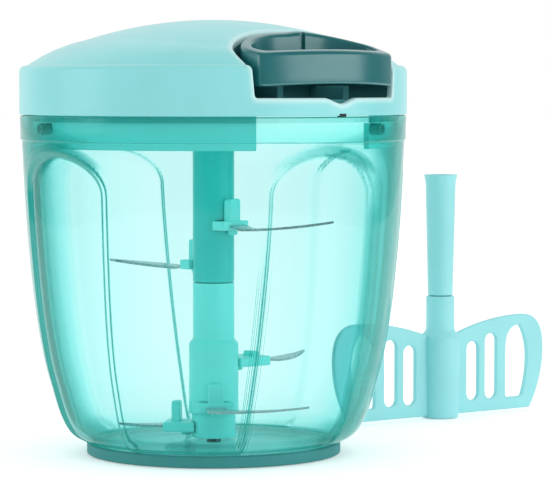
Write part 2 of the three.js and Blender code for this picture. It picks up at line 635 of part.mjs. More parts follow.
function coverShape() {
  const inside = underDome(LID_WALL, LID_BOTTOM - OVERRUN);
  let shape = underDome(0, LID_BOTTOM).subtract(inside);
  const bossBottom = PLATE_TOP + GAP;
  const bossRadius = SCREW_RADIUS + GAP + SCREW_BOSS_WALL;
  const reach = underDome(LID_WALL / 2, bossBottom);
  for (const turn of SCREW_TURNS) {
    const boss = bar(screwPlace(turn, bossBottom - OVERRUN), screwPlace(turn, CROWN_TOP), bossRadius);
    shape = shape.add(boss.intersect(reach));
  }
  shape = shape.add(disc(SPOOL_BORE + AXLE_BOSS_WALL, CUP_TOP + GAP, CROWN_TOP - LID_WALL / 2));
  shape = shape.subtract(disc(SPOOL_BORE, CUP_TOP - OVERRUN, CUP_TOP + AXLE_SEAT + GAP));
  const holeTop = LID_BOTTOM + SCREW_LENGTH + GAP;
  for (const turn of SCREW_TURNS) {
    const hole = bar(screwPlace(turn, bossBottom - OVERRUN), screwPlace(turn, holeTop), SCREW_RADIUS + GAP);
    shape = shape.subtract(hole);
  }
  shape = shape.subtract(upright(recessOutline(RECESS_CLEARANCE), RECESS_LIP, CROWN_TOP + OVERRUN));
  shape = shape.subtract(recessDip());
  const markTop = LID_BOTTOM + MARK_HEIGHT;
  return shape.subtract(block(
    new THREE.Vector3(MARK_SIDE - MARK_WIDTH / 2, -LID_RADIUS - OVERRUN, LID_BOTTOM - OVERRUN),
    new THREE.Vector3(MARK_SIDE + MARK_WIDTH / 2, -LID_RADIUS + LID_WALL + OVERRUN, markTop),
  ));
}

// Recess liner: floor, walls and ribs behind the handle

function backOfRecess(side, grow) {
  const half = HANDLE_HALF_WIDTH + grow;
  const share = side / half;
  return HANDLE_END_AXIAL - (HANDLE_BACK_DEPTH + grow) * Math.sqrt(1 - share * share);
}

function linerShape() {
  const inside = RECESS_CLEARANCE;
  const bottom = PLATE_TOP + GAP;
  const room = underDome(LID_WALL + GAP, bottom);
  let shape = upright(recessOutline(inside + LINER_WALL), bottom, CROWN_TOP);
  shape = shape.subtract(upright(recessOutline(inside), LINER_FLOOR, CROWN_TOP + OVERRUN));
  for (const share of LINER_RIB_SHARES) {
    const middle = share * HANDLE_HALF_WIDTH;
    const back = backOfRecess(Math.abs(middle), RECESS_CLEARANCE);
    const top = HANDLE_FLOOR - handleFall(Math.abs(middle) + LINER_RIB_WIDTH / 2 + HANDLE_ASIDE) - GAP;
    shape = shape.add(block(
      new THREE.Vector3(middle - LINER_RIB_WIDTH / 2, -HANDLE_END_AXIAL, LINER_FLOOR - GAP),
      new THREE.Vector3(middle + LINER_RIB_WIDTH / 2, -back, top),
    ));
  }
  shape = shape.intersect(room);
  const back = backOfRecess(CORD_SIDE, RECESS_CLEARANCE);
  const from = new THREE.Vector3(CORD_SIDE, -back - OVERRUN, CORD_Z);
  const to = new THREE.Vector3(CORD_SIDE, -back + LINER_WALL + 2 * OVERRUN, CORD_Z);
  return shape.subtract(bar(from, to, BUSH_RADIUS + GAP));
}

function bushShape() {
  const back = backOfRecess(CORD_SIDE, RECESS_CLEARANCE);
  const from = new THREE.Vector3(CORD_SIDE, -back, CORD_Z);
  const to = new THREE.Vector3(CORD_SIDE, -back + BUSH_LENGTH, CORD_Z);
  const pass = new THREE.Vector3(0, OVERRUN, 0);
  const hole = bar(from.clone().sub(pass), to.clone().add(pass), CORD_RADIUS + GAP);
  return bar(from, to, BUSH_RADIUS, SMALL_SEGMENTS).subtract(hole);
}

// Lid base: plate, skirt with slots for the lugs, and the hole for the hub

function lugSlot(turn) {
  const half = THREE.MathUtils.radToDeg((LUG_RADIUS + SLOT_CLEARANCE) / SKIRT_RADIUS);
  const inner = SKIRT_RADIUS - SKIRT_WALL - OVERRUN;
  const outer = SKIRT_RADIUS + OVERRUN;
  const low = LUG_HEIGHT - LUG_RADIUS - SLOT_CLEARANCE;
  const high = LUG_HEIGHT + LUG_RADIUS + SLOT_CLEARANCE;
  const foot = RIM - SKIRT_DEPTH - OVERRUN;
  const entry = curvedBlock([{ z: foot, inner, outer, half }, { z: high, inner, outer, half }], turn, 2);
  const run = half + (LOCK_ANGLE + LOCK_SPARE_ANGLE) / 2;
  const middle = turn + (LOCK_ANGLE + LOCK_SPARE_ANGLE) / 2;
  const ends = [{ z: low, inner, outer, half: run }, { z: high, inner, outer, half: run }];
  const branch = curvedBlock(ends, middle, 4);
  return entry.add(branch);
}

function lidBaseShape() {
  const skirtBottom = RIM - SKIRT_DEPTH;
  const skirtInner = SKIRT_RADIUS - SKIRT_WALL;
  const edge = LID_RADIUS - LID_WALL - GAP;
  let shape = turned([
    [0, LID_BOTTOM], [skirtInner, LID_BOTTOM], [skirtInner, skirtBottom], [SKIRT_RADIUS, skirtBottom],
    [SKIRT_RADIUS, LID_BOTTOM], [edge, LID_BOTTOM], [edge, PLATE_TOP], [0, PLATE_TOP],
  ], ROUND_SEGMENTS);
  for (let k = 0; k < LUG_COUNT; k += 1) {
    shape = shape.subtract(lugSlot(LUG_FIRST_TURN + (k * 360) / LUG_COUNT));
  }
  const span = { inner: skirtInner - OVERRUN, outer: SKIRT_RADIUS + OVERRUN, half: SKIRT_GAP_HALF_ANGLE };
  const gapTop = RIM - SEAL_HEIGHT - GAP;
  shape = shape.subtract(curvedBlock(
    [{ z: skirtBottom - OVERRUN, ...span }, { z: gapTop, ...span }], SKIRT_GAP_TURN, 6,
  ));
  shape = shape.subtract(disc(HUB_NECK_RADIUS + GAP, LID_BOTTOM - OVERRUN, PLATE_TOP + OVERRUN));
  for (const turn of SCREW_TURNS) {
    const from = screwPlace(turn, LID_BOTTOM - OVERRUN);
    const to = screwPlace(turn, PLATE_TOP + OVERRUN);
    shape = shape.subtract(bar(from, to, SCREW_RADIUS + GAP));
  }
  return shape;
}

function sealShape() {
  const inner = SKIRT_RADIUS + GAP;
  return ring(inner, inner + SEAL_WALL, RIM - SEAL_HEIGHT, RIM, ROUND_SEGMENTS);
}

function screwShape() {
  const head = -GAP - SCREW_HEAD_HEIGHT;
  const body = turned([
    [0, head], [SCREW_HEAD_RADIUS, head], [SCREW_HEAD_RADIUS, -GAP], [SCREW_RADIUS, -GAP],
    [SCREW_RADIUS, SCREW_LENGTH - SCREW_RADIUS], [0, SCREW_LENGTH],
  ], TINY_SEGMENTS);
  return body.subtract(block(
    new THREE.Vector3(-SCREW_HEAD_RADIUS - OVERRUN, -SCREW_SLOT_WIDTH / 2, head - OVERRUN),
    new THREE.Vector3(SCREW_HEAD_RADIUS + OVERRUN, SCREW_SLOT_WIDTH / 2, head + SCREW_HEAD_HEIGHT / 2),
  ));
}

// Drive

function axleShape() {
  return disc(AXLE_RADIUS, LID_BOTTOM + GAP, CUP_TOP + AXLE_SEAT);
}

function lobedOutline(core, reach, lobeAngle) {
  const outline = new THREE.Shape();
  const steps = 3;
  const pitch = (2 * Math.PI) / LOBE_COUNT;
  const lobe = THREE.MathUtils.degToRad(lobeAngle);
  for (let k = 0; k < LOBE_COUNT; k += 1) {
    for (let step = 0; step <= steps; step += 1) {
      const angle = k * pitch - lobe / 2 + (lobe * step) / steps;
      outline[k + step === 0 ? 'moveTo' : 'lineTo'](reach * Math.cos(angle), reach * Math.sin(angle));
    }
    for (let step = 0; step <= steps; step += 1) {
      const angle = k * pitch + lobe / 2 + ((pitch - lobe) * step) / steps;
      outline.lineTo(core * Math.cos(angle), core * Math.sin(angle));
    }
  }
  outline.closePath();
  return outline;
}

function ratchetOutline() {
  const outline = new THREE.Shape();
  for (let k = 0; k < RATCHET_COUNT; k += 1) {
    const angle = (2 * Math.PI * k) / RATCHET_COUNT;
    const low = RATCHET_RADIUS - RATCHET_TOOTH;
    if (k === 0) outline.moveTo(low, 0);
    else outline.lineTo(low * Math.cos(angle), low * Math.sin(angle));
    const crest = angle + (2 * Math.PI) / RATCHET_COUNT;
    outline.lineTo(RATCHET_RADIUS * Math.cos(crest), RATCHET_RADIUS * Math.sin(crest));
  }
  outline.closePath();
  return outline;
}

function hubShape() {
  const flangeBottom = PLATE_TOP + GAP;
  const flange = HUB_NECK_RADIUS + HUB_FLANGE_WIDTH;
  let shape = turned([
    [0, NECK_BOTTOM], [HUB_NECK_RADIUS, NECK_BOTTOM], [HUB_NECK_RADIUS, flangeBottom],
    [flange, flangeBottom], [flange, HUB_FLANGE_TOP], [0, HUB_FLANGE_TOP],
  ], SMALL_SEGMENTS);
  shape = shape.add(upright(ratchetOutline(), HUB_FLANGE_TOP - GAP, HUB_FLANGE_TOP + RATCHET_HEIGHT));
  shape = shape.add(upright(
    lobedOutline(STUB_CORE_RADIUS, STUB_LOBE_RADIUS, STUB_LOBE_ANGLE), STUB_BOTTOM, NECK_BOTTOM + GAP,
  ));
  return shape.subtract(disc(AXLE_RADIUS + GAP, LID_BOTTOM, HUB_FLANGE_TOP + RATCHET_HEIGHT + OVERRUN));
}

function spoolShape() {
  const pocketTop = SPOOL_BOTTOM + RATCHET_HEIGHT + GAP;
  const lowFlange = SPOOL_BOTTOM + SPOOL_FLANGE_THICKNESS;
  const highFlange = SPOOL_TOP - SPOOL_FLANGE_THICKNESS;
  const neck = SPOOL_BORE + SPOOL_NECK_WALL;
  const neckTop = CUP_TOP - CUP_WALL - GAP;
  let shape = turned([
    [SPOOL_BORE, pocketTop], [SPOOL_POCKET_RADIUS, pocketTop], [SPOOL_POCKET_RADIUS, SPOOL_BOTTOM],
    [SPOOL_FLANGE_RADIUS, SPOOL_BOTTOM], [SPOOL_FLANGE_RADIUS, lowFlange], [SPOOL_CORE_RADIUS, lowFlange],
    [SPOOL_CORE_RADIUS, highFlange], [SPOOL_FLANGE_RADIUS, highFlange], [SPOOL_FLANGE_RADIUS, SPOOL_TOP],
    [neck, SPOOL_TOP], [neck, neckTop], [SPOOL_BORE, neckTop],
    [SPOOL_BORE, pocketTop],
  ], DRUM_SEGMENTS);
  for (const side of [-1, 1]) {
    const inner = side * (RATCHET_RADIUS + GAP);
    const outer = side * (SPOOL_POCKET_RADIUS + GAP);
    shape = shape.add(block(
      new THREE.Vector3(Math.min(inner, outer), -TONGUE_WIDTH / 2, SPOOL_BOTTOM + GAP),
      new THREE.Vector3(Math.max(inner, outer), TONGUE_WIDTH / 2, pocketTop + GAP),
    ));
  }
  return shape;
}

function woundCordShape() {
  const bottom = SPOOL_BOTTOM + SPOOL_FLANGE_THICKNESS + GAP;
  const top = SPOOL_TOP - SPOOL_FLANGE_THICKNESS - GAP;
  return ring(SPOOL_CORE_RADIUS + GAP, CORD_WIND_RADIUS, bottom, top, DRUM_SEGMENTS);
}

function springShape() {
  const inner = SPOOL_BORE + SPOOL_NECK_WALL + 2 * GAP;
  const outer = CUP_RADIUS - CUP_WALL - 2 * GAP;
  const bottom = CUP_BOTTOM + GAP;
  const top = CUP_TOP - CUP_WALL - SPRING_ROOM;
  const count = SPRING_TURNS * SPRING_STEPS_PER_TURN;
  const rings = [];
  for (let k = 0; k <= count; k += 1) {
    const turn = (360 * k) / SPRING_STEPS_PER_TURN;
    const radius = inner + ((outer - SPRING_THICKNESS - inner) * k) / count;
    rings.push([
      around(radius, turn, bottom), around(radius, turn, top),
      around(radius + SPRING_THICKNESS, turn, top), around(radius + SPRING_THICKNESS, turn, bottom),
    ]);
  }
  return skin(rings);
}

function cupShape() {
  const inner = CUP_RADIUS - CUP_WALL;
  const hole = AXLE_RADIUS + GAP;
  const under = CUP_TOP - CUP_WALL;
  return turned([
    [hole, under], [inner, under], [inner, CUP_BOTTOM], [CUP_RADIUS, CUP_BOTTOM], [CUP_RADIUS, CUP_TOP],
    [hole, CUP_TOP], [hole, under],
  ], DRUM_SEGMENTS);
}

// Handle

function handleTop() {
  const heightAt = (radius) => {
    const flush = Math.min(radius, HANDLE_FLUSH_RADIUS);
    const slope = HANDLE_FLUSH_RADIUS / CROWN_BEND_RADIUS;
    return humpHeight(flush) - slope * (radius - flush) - HANDLE_TOP_DROP;
  };
  const reach = LID_RADIUS + 2 * OVERRUN;
  const points = [[0, HANDLE_FLOOR], [reach, HANDLE_FLOOR], [reach, heightAt(reach)]];
  const outside = (reach + HANDLE_FLUSH_RADIUS) / 2;
  for (const radius of [outside, HANDLE_FLUSH_RADIUS]) points.push([radius, heightAt(radius)]);
  points.push([0, CROWN_TOP - HANDLE_TOP_DROP]);
  return turned(points, DRUM_SEGMENTS);
}

// How far the handle lies lower than at its middle, at this distance to the side.
function handleFall(side) {
  return HANDLE_CROWN * (side / HANDLE_HALF_WIDTH) ** 2;
}

// The same solid with its sides bent down.
function crowned(shape) {
  const { vertProperties, triVerts } = shape.getMesh();
  const geometry = new THREE.BufferGeometry();
  const place = new THREE.BufferAttribute(vertProperties, 3);
  for (let k = 0; k < place.count; k += 1) place.setZ(k, place.getZ(k) - handleFall(place.getX(k)));
  geometry.setAttribute('position', place);
  geometry.setIndex(new THREE.BufferAttribute(triVerts, 1));
  return solid(geometry);
}

// The ring stands on a slightly larger foot: its outer wall leans out by HANDLE_DRAFT toward the bottom.
function draftedRing() {
  const height = CROWN_TOP - HANDLE_FLOOR;
  const front = HANDLE_FRONT_RADIUS;
  const outline = handleOutline(0, front, HANDLE_CORNER);
  const options = { depth: height, bevelEnabled: false, curveSegments: HANDLE_CURVE_STEPS };
  const geometry = new THREE.ExtrudeGeometry(outline, options);
  const place = geometry.attributes.position;
  for (let k = 0; k < place.count; k += 1) {
    const lean = (HANDLE_DRAFT * (1 - place.getZ(k) / height)) / front;
    const frontShare = Math.max(0, (-place.getY(k) - HANDLE_END_AXIAL) / (front - HANDLE_END_AXIAL));
    place.setY(k, place.getY(k) * (1 + lean * Math.min(frontShare, 1)));
  }
  return solid(geometry.translate(0, 0, HANDLE_FLOOR));
}

function handleShape() {
  const front = HANDLE_FRONT_RADIUS - HANDLE_WALL;
  const inner = handleOutline(-HANDLE_WALL, front, HANDLE_INNER_CORNER);
  const opening = upright(inner, HANDLE_FLOOR - OVERRUN, CROWN_TOP + OVERRUN, HANDLE_CURVE_STEPS);
  let shape = crowned(draftedRing().subtract(opening).intersect(handleTop()));
  shape = shape.translate([HANDLE_ASIDE, 0, 0]);
  const back = backOfRecess(CORD_SIDE - HANDLE_ASIDE, -HANDLE_WALL);
  const from = new THREE.Vector3(CORD_SIDE, -back - OVERRUN, CORD_Z);
  const to = new THREE.Vector3(CORD_SIDE, -back + HANDLE_WALL + 2 * OVERRUN, CORD_Z);
  shape = shape.subtract(bar(from, to, CORD_RADIUS + GAP));
  const groove = backOfRecess(GROOVE_SIDE - HANDLE_ASIDE, -HANDLE_WALL);
  return shape.subtract(block(
    new THREE.Vector3(GROOVE_SIDE - GROOVE_WIDTH / 2, -groove - OVERRUN, HANDLE_FLOOR - OVERRUN),
    new THREE.Vector3(GROOVE_SIDE + GROOVE_WIDTH / 2, -groove + GROOVE_DEPTH, CROWN_TOP),
  ));
}

function anchorShape() {
  const start = backOfRecess(CORD_SIDE + ANCHOR_RADIUS - HANDLE_ASIDE, -HANDLE_WALL) + GAP;
  const from = new THREE.Vector3(CORD_SIDE, -start, CORD_Z);
  const to = new THREE.Vector3(CORD_SIDE, -start - ANCHOR_LENGTH, CORD_Z);
  const deep = new THREE.Vector3(CORD_SIDE, -start - ANCHOR_LENGTH / 2, CORD_Z);
  const mouth = new THREE.Vector3(CORD_SIDE, -start + OVERRUN, CORD_Z);
  return bar(from, to, ANCHOR_RADIUS, SMALL_SEGMENTS).subtract(bar(mouth, deep, CORD_RADIUS + GAP));
}

function leadShape() {
  const start = backOfRecess(CORD_SIDE + ANCHOR_RADIUS - HANDLE_ASIDE, -HANDLE_WALL) + GAP;
  const end = -start - ANCHOR_LENGTH / 2 + GAP;
  const section = new THREE.Shape().absarc(0, 0, CORD_RADIUS, 0, 2 * Math.PI, false);
  const route = new THREE.LineCurve3(
    new THREE.Vector3(CORD_SIDE, 0, CORD_Z), new THREE.Vector3(CORD_SIDE, end, CORD_Z),
  );
  const options = { steps: CORD_STEPS, extrudePath: route, curveSegments: 4 };
  const geometry = new THREE.ExtrudeGeometry(section, options);
  return solid(geometry);
}

// Stem

function stemSocket(bottom, top) {
  const outline = lobedOutline(
    STUB_CORE_RADIUS + SOCKET_CLEARANCE, STUB_LOBE_RADIUS + SOCKET_CLEARANCE, SOCKET_LOBE_ANGLE,
  );
  return upright(outline, bottom, top);
}

// Flats on the stem in which the clips between two heights sit.
function cutSeats(shape, low, high) {
  const half = CLIP_THICKNESS / 2 + GAP;
  const wide = CLIP_WIDTH / 2 + OVERRUN;
  const heights = (share) => share.height * BOWL_HEIGHT;
  const seats = BLADE_SHARES.filter((share) => heights(share) > low && heights(share) < high);
  return seats.reduce((cut, { height, turn, stem }) => {
    const from = new THREE.Vector3(stem - CLIP_SEAT_DEPTH, -wide, -half);
    const seat = block(from, new THREE.Vector3(stem + OVERRUN, wide, half));
    return cut.subtract(seat.rotate([0, 0, turn - 90]).translate([0, 0, height * BOWL_HEIGHT]));
  }, shape);
}

function upperStemShape() {
  const bottom = STEM_JOINT_HEIGHT + GAP;
  const spigotTop = STEM_JOINT_HEIGHT + SPIGOT_LENGTH + GAP;
  let shape = cutSeats(disc(STEM_RADIUS, bottom, STEM_TOP), bottom, STEM_TOP);
  shape = shape.subtract(stemSocket(SOCKET_BOTTOM, STEM_TOP + OVERRUN));
  return shape.subtract(disc(SPIGOT_RADIUS + 2 * GAP, bottom - OVERRUN, spigotTop, SPIGOT_SIDES));
}

function pinBore(bottom) {
  const bossTop = PIN_BOSS_TOP + GAP;
  const wide = disc(PIN_BOSS_RADIUS + PIN_CLEARANCE, bottom - OVERRUN, bossTop);
  return wide.add(disc(PIN_RADIUS + PIN_CLEARANCE, bottom, PIN_TOP + GAP));
}

function lowerStemShape() {
  const top = STEM_JOINT_HEIGHT;
  const slope = STEM_WIDE_RADIUS - STEM_RADIUS;
  let shape = turned([
    [0, STEM_BOTTOM], [STEM_LOW_RADIUS, STEM_BOTTOM], [STEM_LOW_RADIUS, STEM_NARROW_HEIGHT],
    [STEM_WIDE_RADIUS, STEM_NARROW_HEIGHT], [STEM_WIDE_RADIUS, STEM_STEP_HEIGHT],
    [STEM_RADIUS, STEM_STEP_HEIGHT + slope], [STEM_RADIUS, top], [0, top],
  ]);
  shape = cutSeats(shape, STEM_BOTTOM, top);
  shape = shape.add(disc(SPIGOT_RADIUS, top - GAP, top + SPIGOT_LENGTH, SPIGOT_SIDES));
  return shape.subtract(pinBore(STEM_BOTTOM));
}

// Blades: each lies along +X of its own frame, with its flat faces level

function bladeCurvePoint({ along, alongSweep, beside, besideSweep }, reach, sweep) {
  return new THREE.Vector2(reach * (along + alongSweep * sweep), reach * (beside + besideSweep * sweep));
}

function bladeShape(reach, clipReach, sweep, rise) {
  const root = clipReach - CLIP_GRIP;
  const waist = clipReach + BLADE_WAIST;
  const tang = BLADE_TANG_WIDTH / 2;
  const tip = new THREE.Vector2(reach * Math.sqrt(1 - sweep * sweep), reach * sweep);
  const back = bladeCurvePoint(BLADE_BACK_SHARES, reach, sweep);
  const edge = bladeCurvePoint(BLADE_EDGE_SHARES, reach, sweep);
  const outline = new THREE.Shape();
  outline.moveTo(root, -tang);
  outline.lineTo(waist, -tang);
  outline.quadraticCurveTo(back.x, back.y, tip.x, tip.y);
  outline.quadraticCurveTo(edge.x, edge.y, waist, tang);
  outline.lineTo(root, tang);
  outline.closePath();
  const options = { depth: BLADE_THICKNESS, bevelEnabled: false, curveSegments: 8 };
  const geometry = new THREE.ExtrudeGeometry(outline, options);
  const place = geometry.attributes.position;
  for (let k = 0; k < place.count; k += 1) {
    const away = Math.hypot(place.getX(k), place.getY(k));
    const share = Math.max(0, (away - waist) / (reach - waist));
    place.setZ(k, place.getZ(k) - BLADE_THICKNESS / 2 + rise * reach * share * share);
  }
  return solid(geometry);
}

function clipShape(stem, clipReach, pegHeight) {
  const half = CLIP_THICKNESS / 2;
  const seat = stem - CLIP_SEAT_DEPTH + GAP;
  const pegStart = Math.max(stem + GAP, clipReach - PEG_INSET);
  let shape = block(
    new THREE.Vector3(seat, -CLIP_WIDTH / 2, -half), new THREE.Vector3(clipReach, CLIP_WIDTH / 2, half),
  );
  shape = shape.add(block(
    new THREE.Vector3(pegStart, -PEG_WIDTH / 2, half - GAP),
    new THREE.Vector3(pegStart + PEG_DEPTH, PEG_WIDTH / 2, half + pegHeight),
  ));
  const rivet = disc(RIVET_RADIUS, -half - RIVET_HEIGHT, -half + GAP, TINY_SEGMENTS);
  shape = shape.add(rivet.translate([stem + GAP + RIVET_RADIUS, 0, 0]));
  const slotHalf = BLADE_TANG_WIDTH / 2 + CLIP_SLOT_CLEARANCE;
  const slotTop = BLADE_THICKNESS / 2 + CLIP_SLOT_CLEARANCE;
  return shape.subtract(block(
    new THREE.Vector3(clipReach - CLIP_GRIP - GAP, -slotHalf, -slotTop),
    new THREE.Vector3(clipReach + OVERRUN, slotHalf, slotTop),
  ));
}

// Paddle, in its own frame: hub on the origin, wings along X

function tubeOutlineAt(z) {
  const share = (z - COLLAR_TOP) / (TUBE_TOP - COLLAR_TOP);
  return TUBE_BOTTOM_RADIUS + (TUBE_TOP_RADIUS - TUBE_BOTTOM_RADIUS) * share;
}

function wingOutline() {
  const outline = new THREE.Shape();
  const root = HUB_FOOT_RADIUS / 2;
  const foot = WING_FOOT_SHARE * WING_REACH;
  const peak = WING_PEAK_SHARE * WING_REACH;
  const widest = WING_WIDEST_SHARE * WING_PEAK_HEIGHT;
  outline.moveTo(root, WING_BOTTOM);
  outline.lineTo(foot, WING_BOTTOM);
  outline.quadraticCurveTo(WING_REACH, widest / 2, WING_REACH, widest);
  outline.quadraticCurveTo(WING_REACH, WING_PEAK_HEIGHT, peak, WING_PEAK_HEIGHT);
  outline.quadraticCurveTo((peak + root) / 2, WING_PEAK_HEIGHT, root, WING_ROOT_HEIGHT);
  outline.closePath();
  return outline;
}

function slotOutline(middle, top) {
  const outline = new THREE.Shape();
  const half = WING_SLOT_WIDTH / 2;
  outline.absarc(middle, WING_SLOT_BOTTOM + half, half, Math.PI, 2 * Math.PI, false);
  outline.absarc(middle, top - half, half, 0, Math.PI, false);
  outline.closePath();
  return outline;
}

function tipSlotOutline() {
  const { inner, foot, outer } = TIP_SLOT_SHARES;
  const near = inner * WING_REACH;
  const far = outer * WING_REACH;
  const top = TIP_SLOT_SHARES.top * WING_PEAK_HEIGHT;
  const bulge = TIP_SLOT_SHARES.bulge * WING_PEAK_HEIGHT;
  const outline = new THREE.Shape();
  outline.moveTo(near, WING_SLOT_BOTTOM);
  outline.lineTo(foot * WING_REACH, WING_SLOT_BOTTOM);
  outline.quadraticCurveTo(far, bulge, (near + far) / 2, top);
  outline.quadraticCurveTo(near, top, near, bulge);
  outline.closePath();
  return outline;
}

// An outline in X and height, given a thickness across Y.
function plate(outline, thickness) {
  const options = { depth: thickness, bevelEnabled: false, curveSegments: WING_CURVE_STEPS };
  const geometry = new THREE.ExtrudeGeometry(outline, options);
  geometry.translate(0, 0, -thickness / 2);
  return solid(geometry.rotateX(Math.PI / 2));
}

function wingShape() {
  let shape = plate(wingOutline(), WING_THICKNESS);
  const through = WING_THICKNESS + 2 * OVERRUN;
  for (const { middle, top } of WING_SLOT_SHARES) {
    shape = shape.subtract(plate(slotOutline(middle * WING_REACH, top * WING_PEAK_HEIGHT), through));
  }
  return shape.subtract(plate(tipSlotOutline(), through));
}

function paddleShape() {
  const spigotTop = COLLAR_TOP + TUBE_SPIGOT_LENGTH;
  const shoulder = HUB_RADIUS - COLLAR_RADIUS;
  const hub = turned([
    [0, 0], [HUB_FOOT_RADIUS, 0], [HUB_RADIUS, HUB_HEIGHT], [COLLAR_RADIUS, HUB_HEIGHT + shoulder],
    [COLLAR_RADIUS, COLLAR_TOP], [TUBE_SPIGOT_RADIUS, COLLAR_TOP], [TUBE_SPIGOT_RADIUS, spigotTop],
    [0, spigotTop],
  ]);
  const wing = wingShape();
  const shape = hub.add(wing).add(wing.rotate([0, 0, 180]));
  return shape.subtract(pinBore(0).translate([0, 0, -STEM_BOTTOM]));
}

function paddleTubeShape() {
  const bottom = COLLAR_TOP + GAP;
  const lip = TUBE_TOP - TUBE_LIP_HEIGHT;
  const seatTop = COLLAR_TOP + TUBE_SPIGOT_LENGTH + GAP;
  const body = turned([
    [0, bottom], [tubeOutlineAt(bottom), bottom], [tubeOutlineAt(lip), lip],
    [TUBE_TOP_RADIUS + TUBE_LIP, TUBE_TOP], [0, TUBE_TOP],
  ]);
  const seat = disc(TUBE_SPIGOT_RADIUS + GAP, bottom - OVERRUN, seatTop);
  return body.subtract(seat).subtract(stemSocket(TUBE_TOP - TUBE_SOCKET_DEPTH, TUBE_TOP + OVERRUN));
}

// Assembly

function bowlGroup() {
  const group = new THREE.Group();
  group.add(piece('bowl', bowlShape(), finish(CLEAR_TEAL, 0.08)));
  group.add(piece('non_slip_base', baseShape(), finish(DARK_TEAL, 0.7)));
  group.add(piece('pivot_pin', pinShape(), finish(STEEL, 0.25, 1)));
  return group;
}

function lidGroup() {
  const group = new THREE.Group();
  group.add(piece('lid_cover', coverShape(), finish(MINT, 0.25)));
  group.add(piece('lid_base', lidBaseShape(), finish(STEM_TEAL, 0.35)));
  group.add(piece('lid_seal', sealShape(), finish(SEAL_TEAL, 0.6)));
  group.add(piece('recess_liner', linerShape(), finish(DARK_TEAL, 0.35)));
  group.add(piece('cord_guide_bush', bushShape(), finish(STEEL, 0.3, 1)));
  group.add(piece('spool_axle', axleShape(), finish(STEEL, 0.25, 1)));
  group.add(piece('spring_cup', cupShape(), finish(MINT, 0.4)));
  SCREW_TURNS.forEach((turn, k) => {
    const screw = piece(`lid_screw_${k + 1}`, screwShape(), finish(STEEL, 0.3, 1));
    screw.position.copy(screwPlace(turn, LID_BOTTOM));
    screw.rotation.z = THREE.MathUtils.degToRad(turn);
    group.add(screw);
  });
  return group;
}

function driveGroup() {
  const group = new THREE.Group();
  group.add(piece('spool', spoolShape(), finish(CORD_WHITE, 0.4)));
  group.add(piece('wound_cord', woundCordShape(), finish(CORD_WHITE, 0.8)));
  group.add(piece('recoil_spring', springShape(), finish(STEEL, 0.3, 1)));
  group.add(piece('drive_hub', hubShape(), finish(CORD_WHITE, 0.4)));
  return group;
}

function handleGroup() {
  const group = new THREE.Group();
  group.add(piece('pull_handle', handleShape(), finish(DARK_TEAL, 0.3)));
  group.add(piece('cord_anchor', anchorShape(), finish(DARK_TEAL, 0.4)));
  group.add(piece('pull_cord', leadShape(), finish(CORD_WHITE, 0.8)));
  return group;
}

function bladeGroup() {
  const group = new THREE.Group();
  group.add(piece('upper_stem', upperStemShape(), finish(STEM_TEAL, 0.3)));
  group.add(piece('lower_stem', lowerStemShape(), finish(STEM_TEAL, 0.3)));
  BLADE_SHARES.forEach(({ height, reach, turn, stem, sweep, rise, clip, peg }, k) => {
    const z = height * BOWL_HEIGHT;
    const length = reach * (sideRadiusAt(z) - BOWL_WALL);
    const held = clip * stem;
    const arm = new THREE.Group();
    arm.position.z = z;
    arm.rotation.z = THREE.MathUtils.degToRad(turn - 90);
    const holder = clipShape(stem, held, peg * CLIP_THICKNESS);
    arm.add(piece(`blade_clip_${k + 1}`, holder, finish(STEM_TEAL, 0.3)));
    arm.add(piece(`blade_${k + 1}`, bladeShape(length, held, sweep, rise), finish(STEEL, 0.2, 1)));
    group.add(arm);
  });
  return group;
}

function paddleGroup() {
  const group = new THREE.Group();
  group.position.copy(around(PADDLE_DISTANCE, PADDLE_TURN));
  group.rotation.z = THREE.MathUtils.degToRad(PADDLE_WING_ANGLE);
  group.add(piece('mixing_paddle', paddleShape(), finish(MINT, 0.35)));
  group.add(piece('paddle_stem', paddleTubeShape(), finish(MINT, 0.35)));
  return group;
}

const chopper = new THREE.Group();
chopper.add(bowlGroup(), lidGroup(), driveGroup(), handleGroup(), bladeGroup(), paddleGroup());

export default chopper;
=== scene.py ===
"""Looks for a pull-cord food chopper with a clear bowl and a mixing paddle beside it.

Sizes are in millimetres and become metres where a mesh is made. +Z is up, the handle pulls toward -Y, and a
turn is counted in degrees from -Y toward +X.
"""

import math

import bmesh
import bpy
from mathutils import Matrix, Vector
from mathutils.geometry import delaunay_2d_cdt


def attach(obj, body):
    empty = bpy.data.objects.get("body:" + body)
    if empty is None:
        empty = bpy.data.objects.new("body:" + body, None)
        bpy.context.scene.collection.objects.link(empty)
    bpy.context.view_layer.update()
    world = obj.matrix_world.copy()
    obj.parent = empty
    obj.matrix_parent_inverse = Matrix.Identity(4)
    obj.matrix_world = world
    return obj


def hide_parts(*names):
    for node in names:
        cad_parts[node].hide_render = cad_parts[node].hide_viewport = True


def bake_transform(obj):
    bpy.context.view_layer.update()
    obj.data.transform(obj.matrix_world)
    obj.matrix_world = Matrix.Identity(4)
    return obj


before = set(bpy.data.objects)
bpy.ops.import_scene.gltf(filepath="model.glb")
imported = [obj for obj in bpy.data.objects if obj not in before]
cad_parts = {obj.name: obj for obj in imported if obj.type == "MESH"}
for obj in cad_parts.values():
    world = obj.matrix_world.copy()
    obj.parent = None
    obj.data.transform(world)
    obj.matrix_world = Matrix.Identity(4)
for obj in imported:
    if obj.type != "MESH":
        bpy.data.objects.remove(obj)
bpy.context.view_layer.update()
scene = bpy.context.scene
MM = 0.001

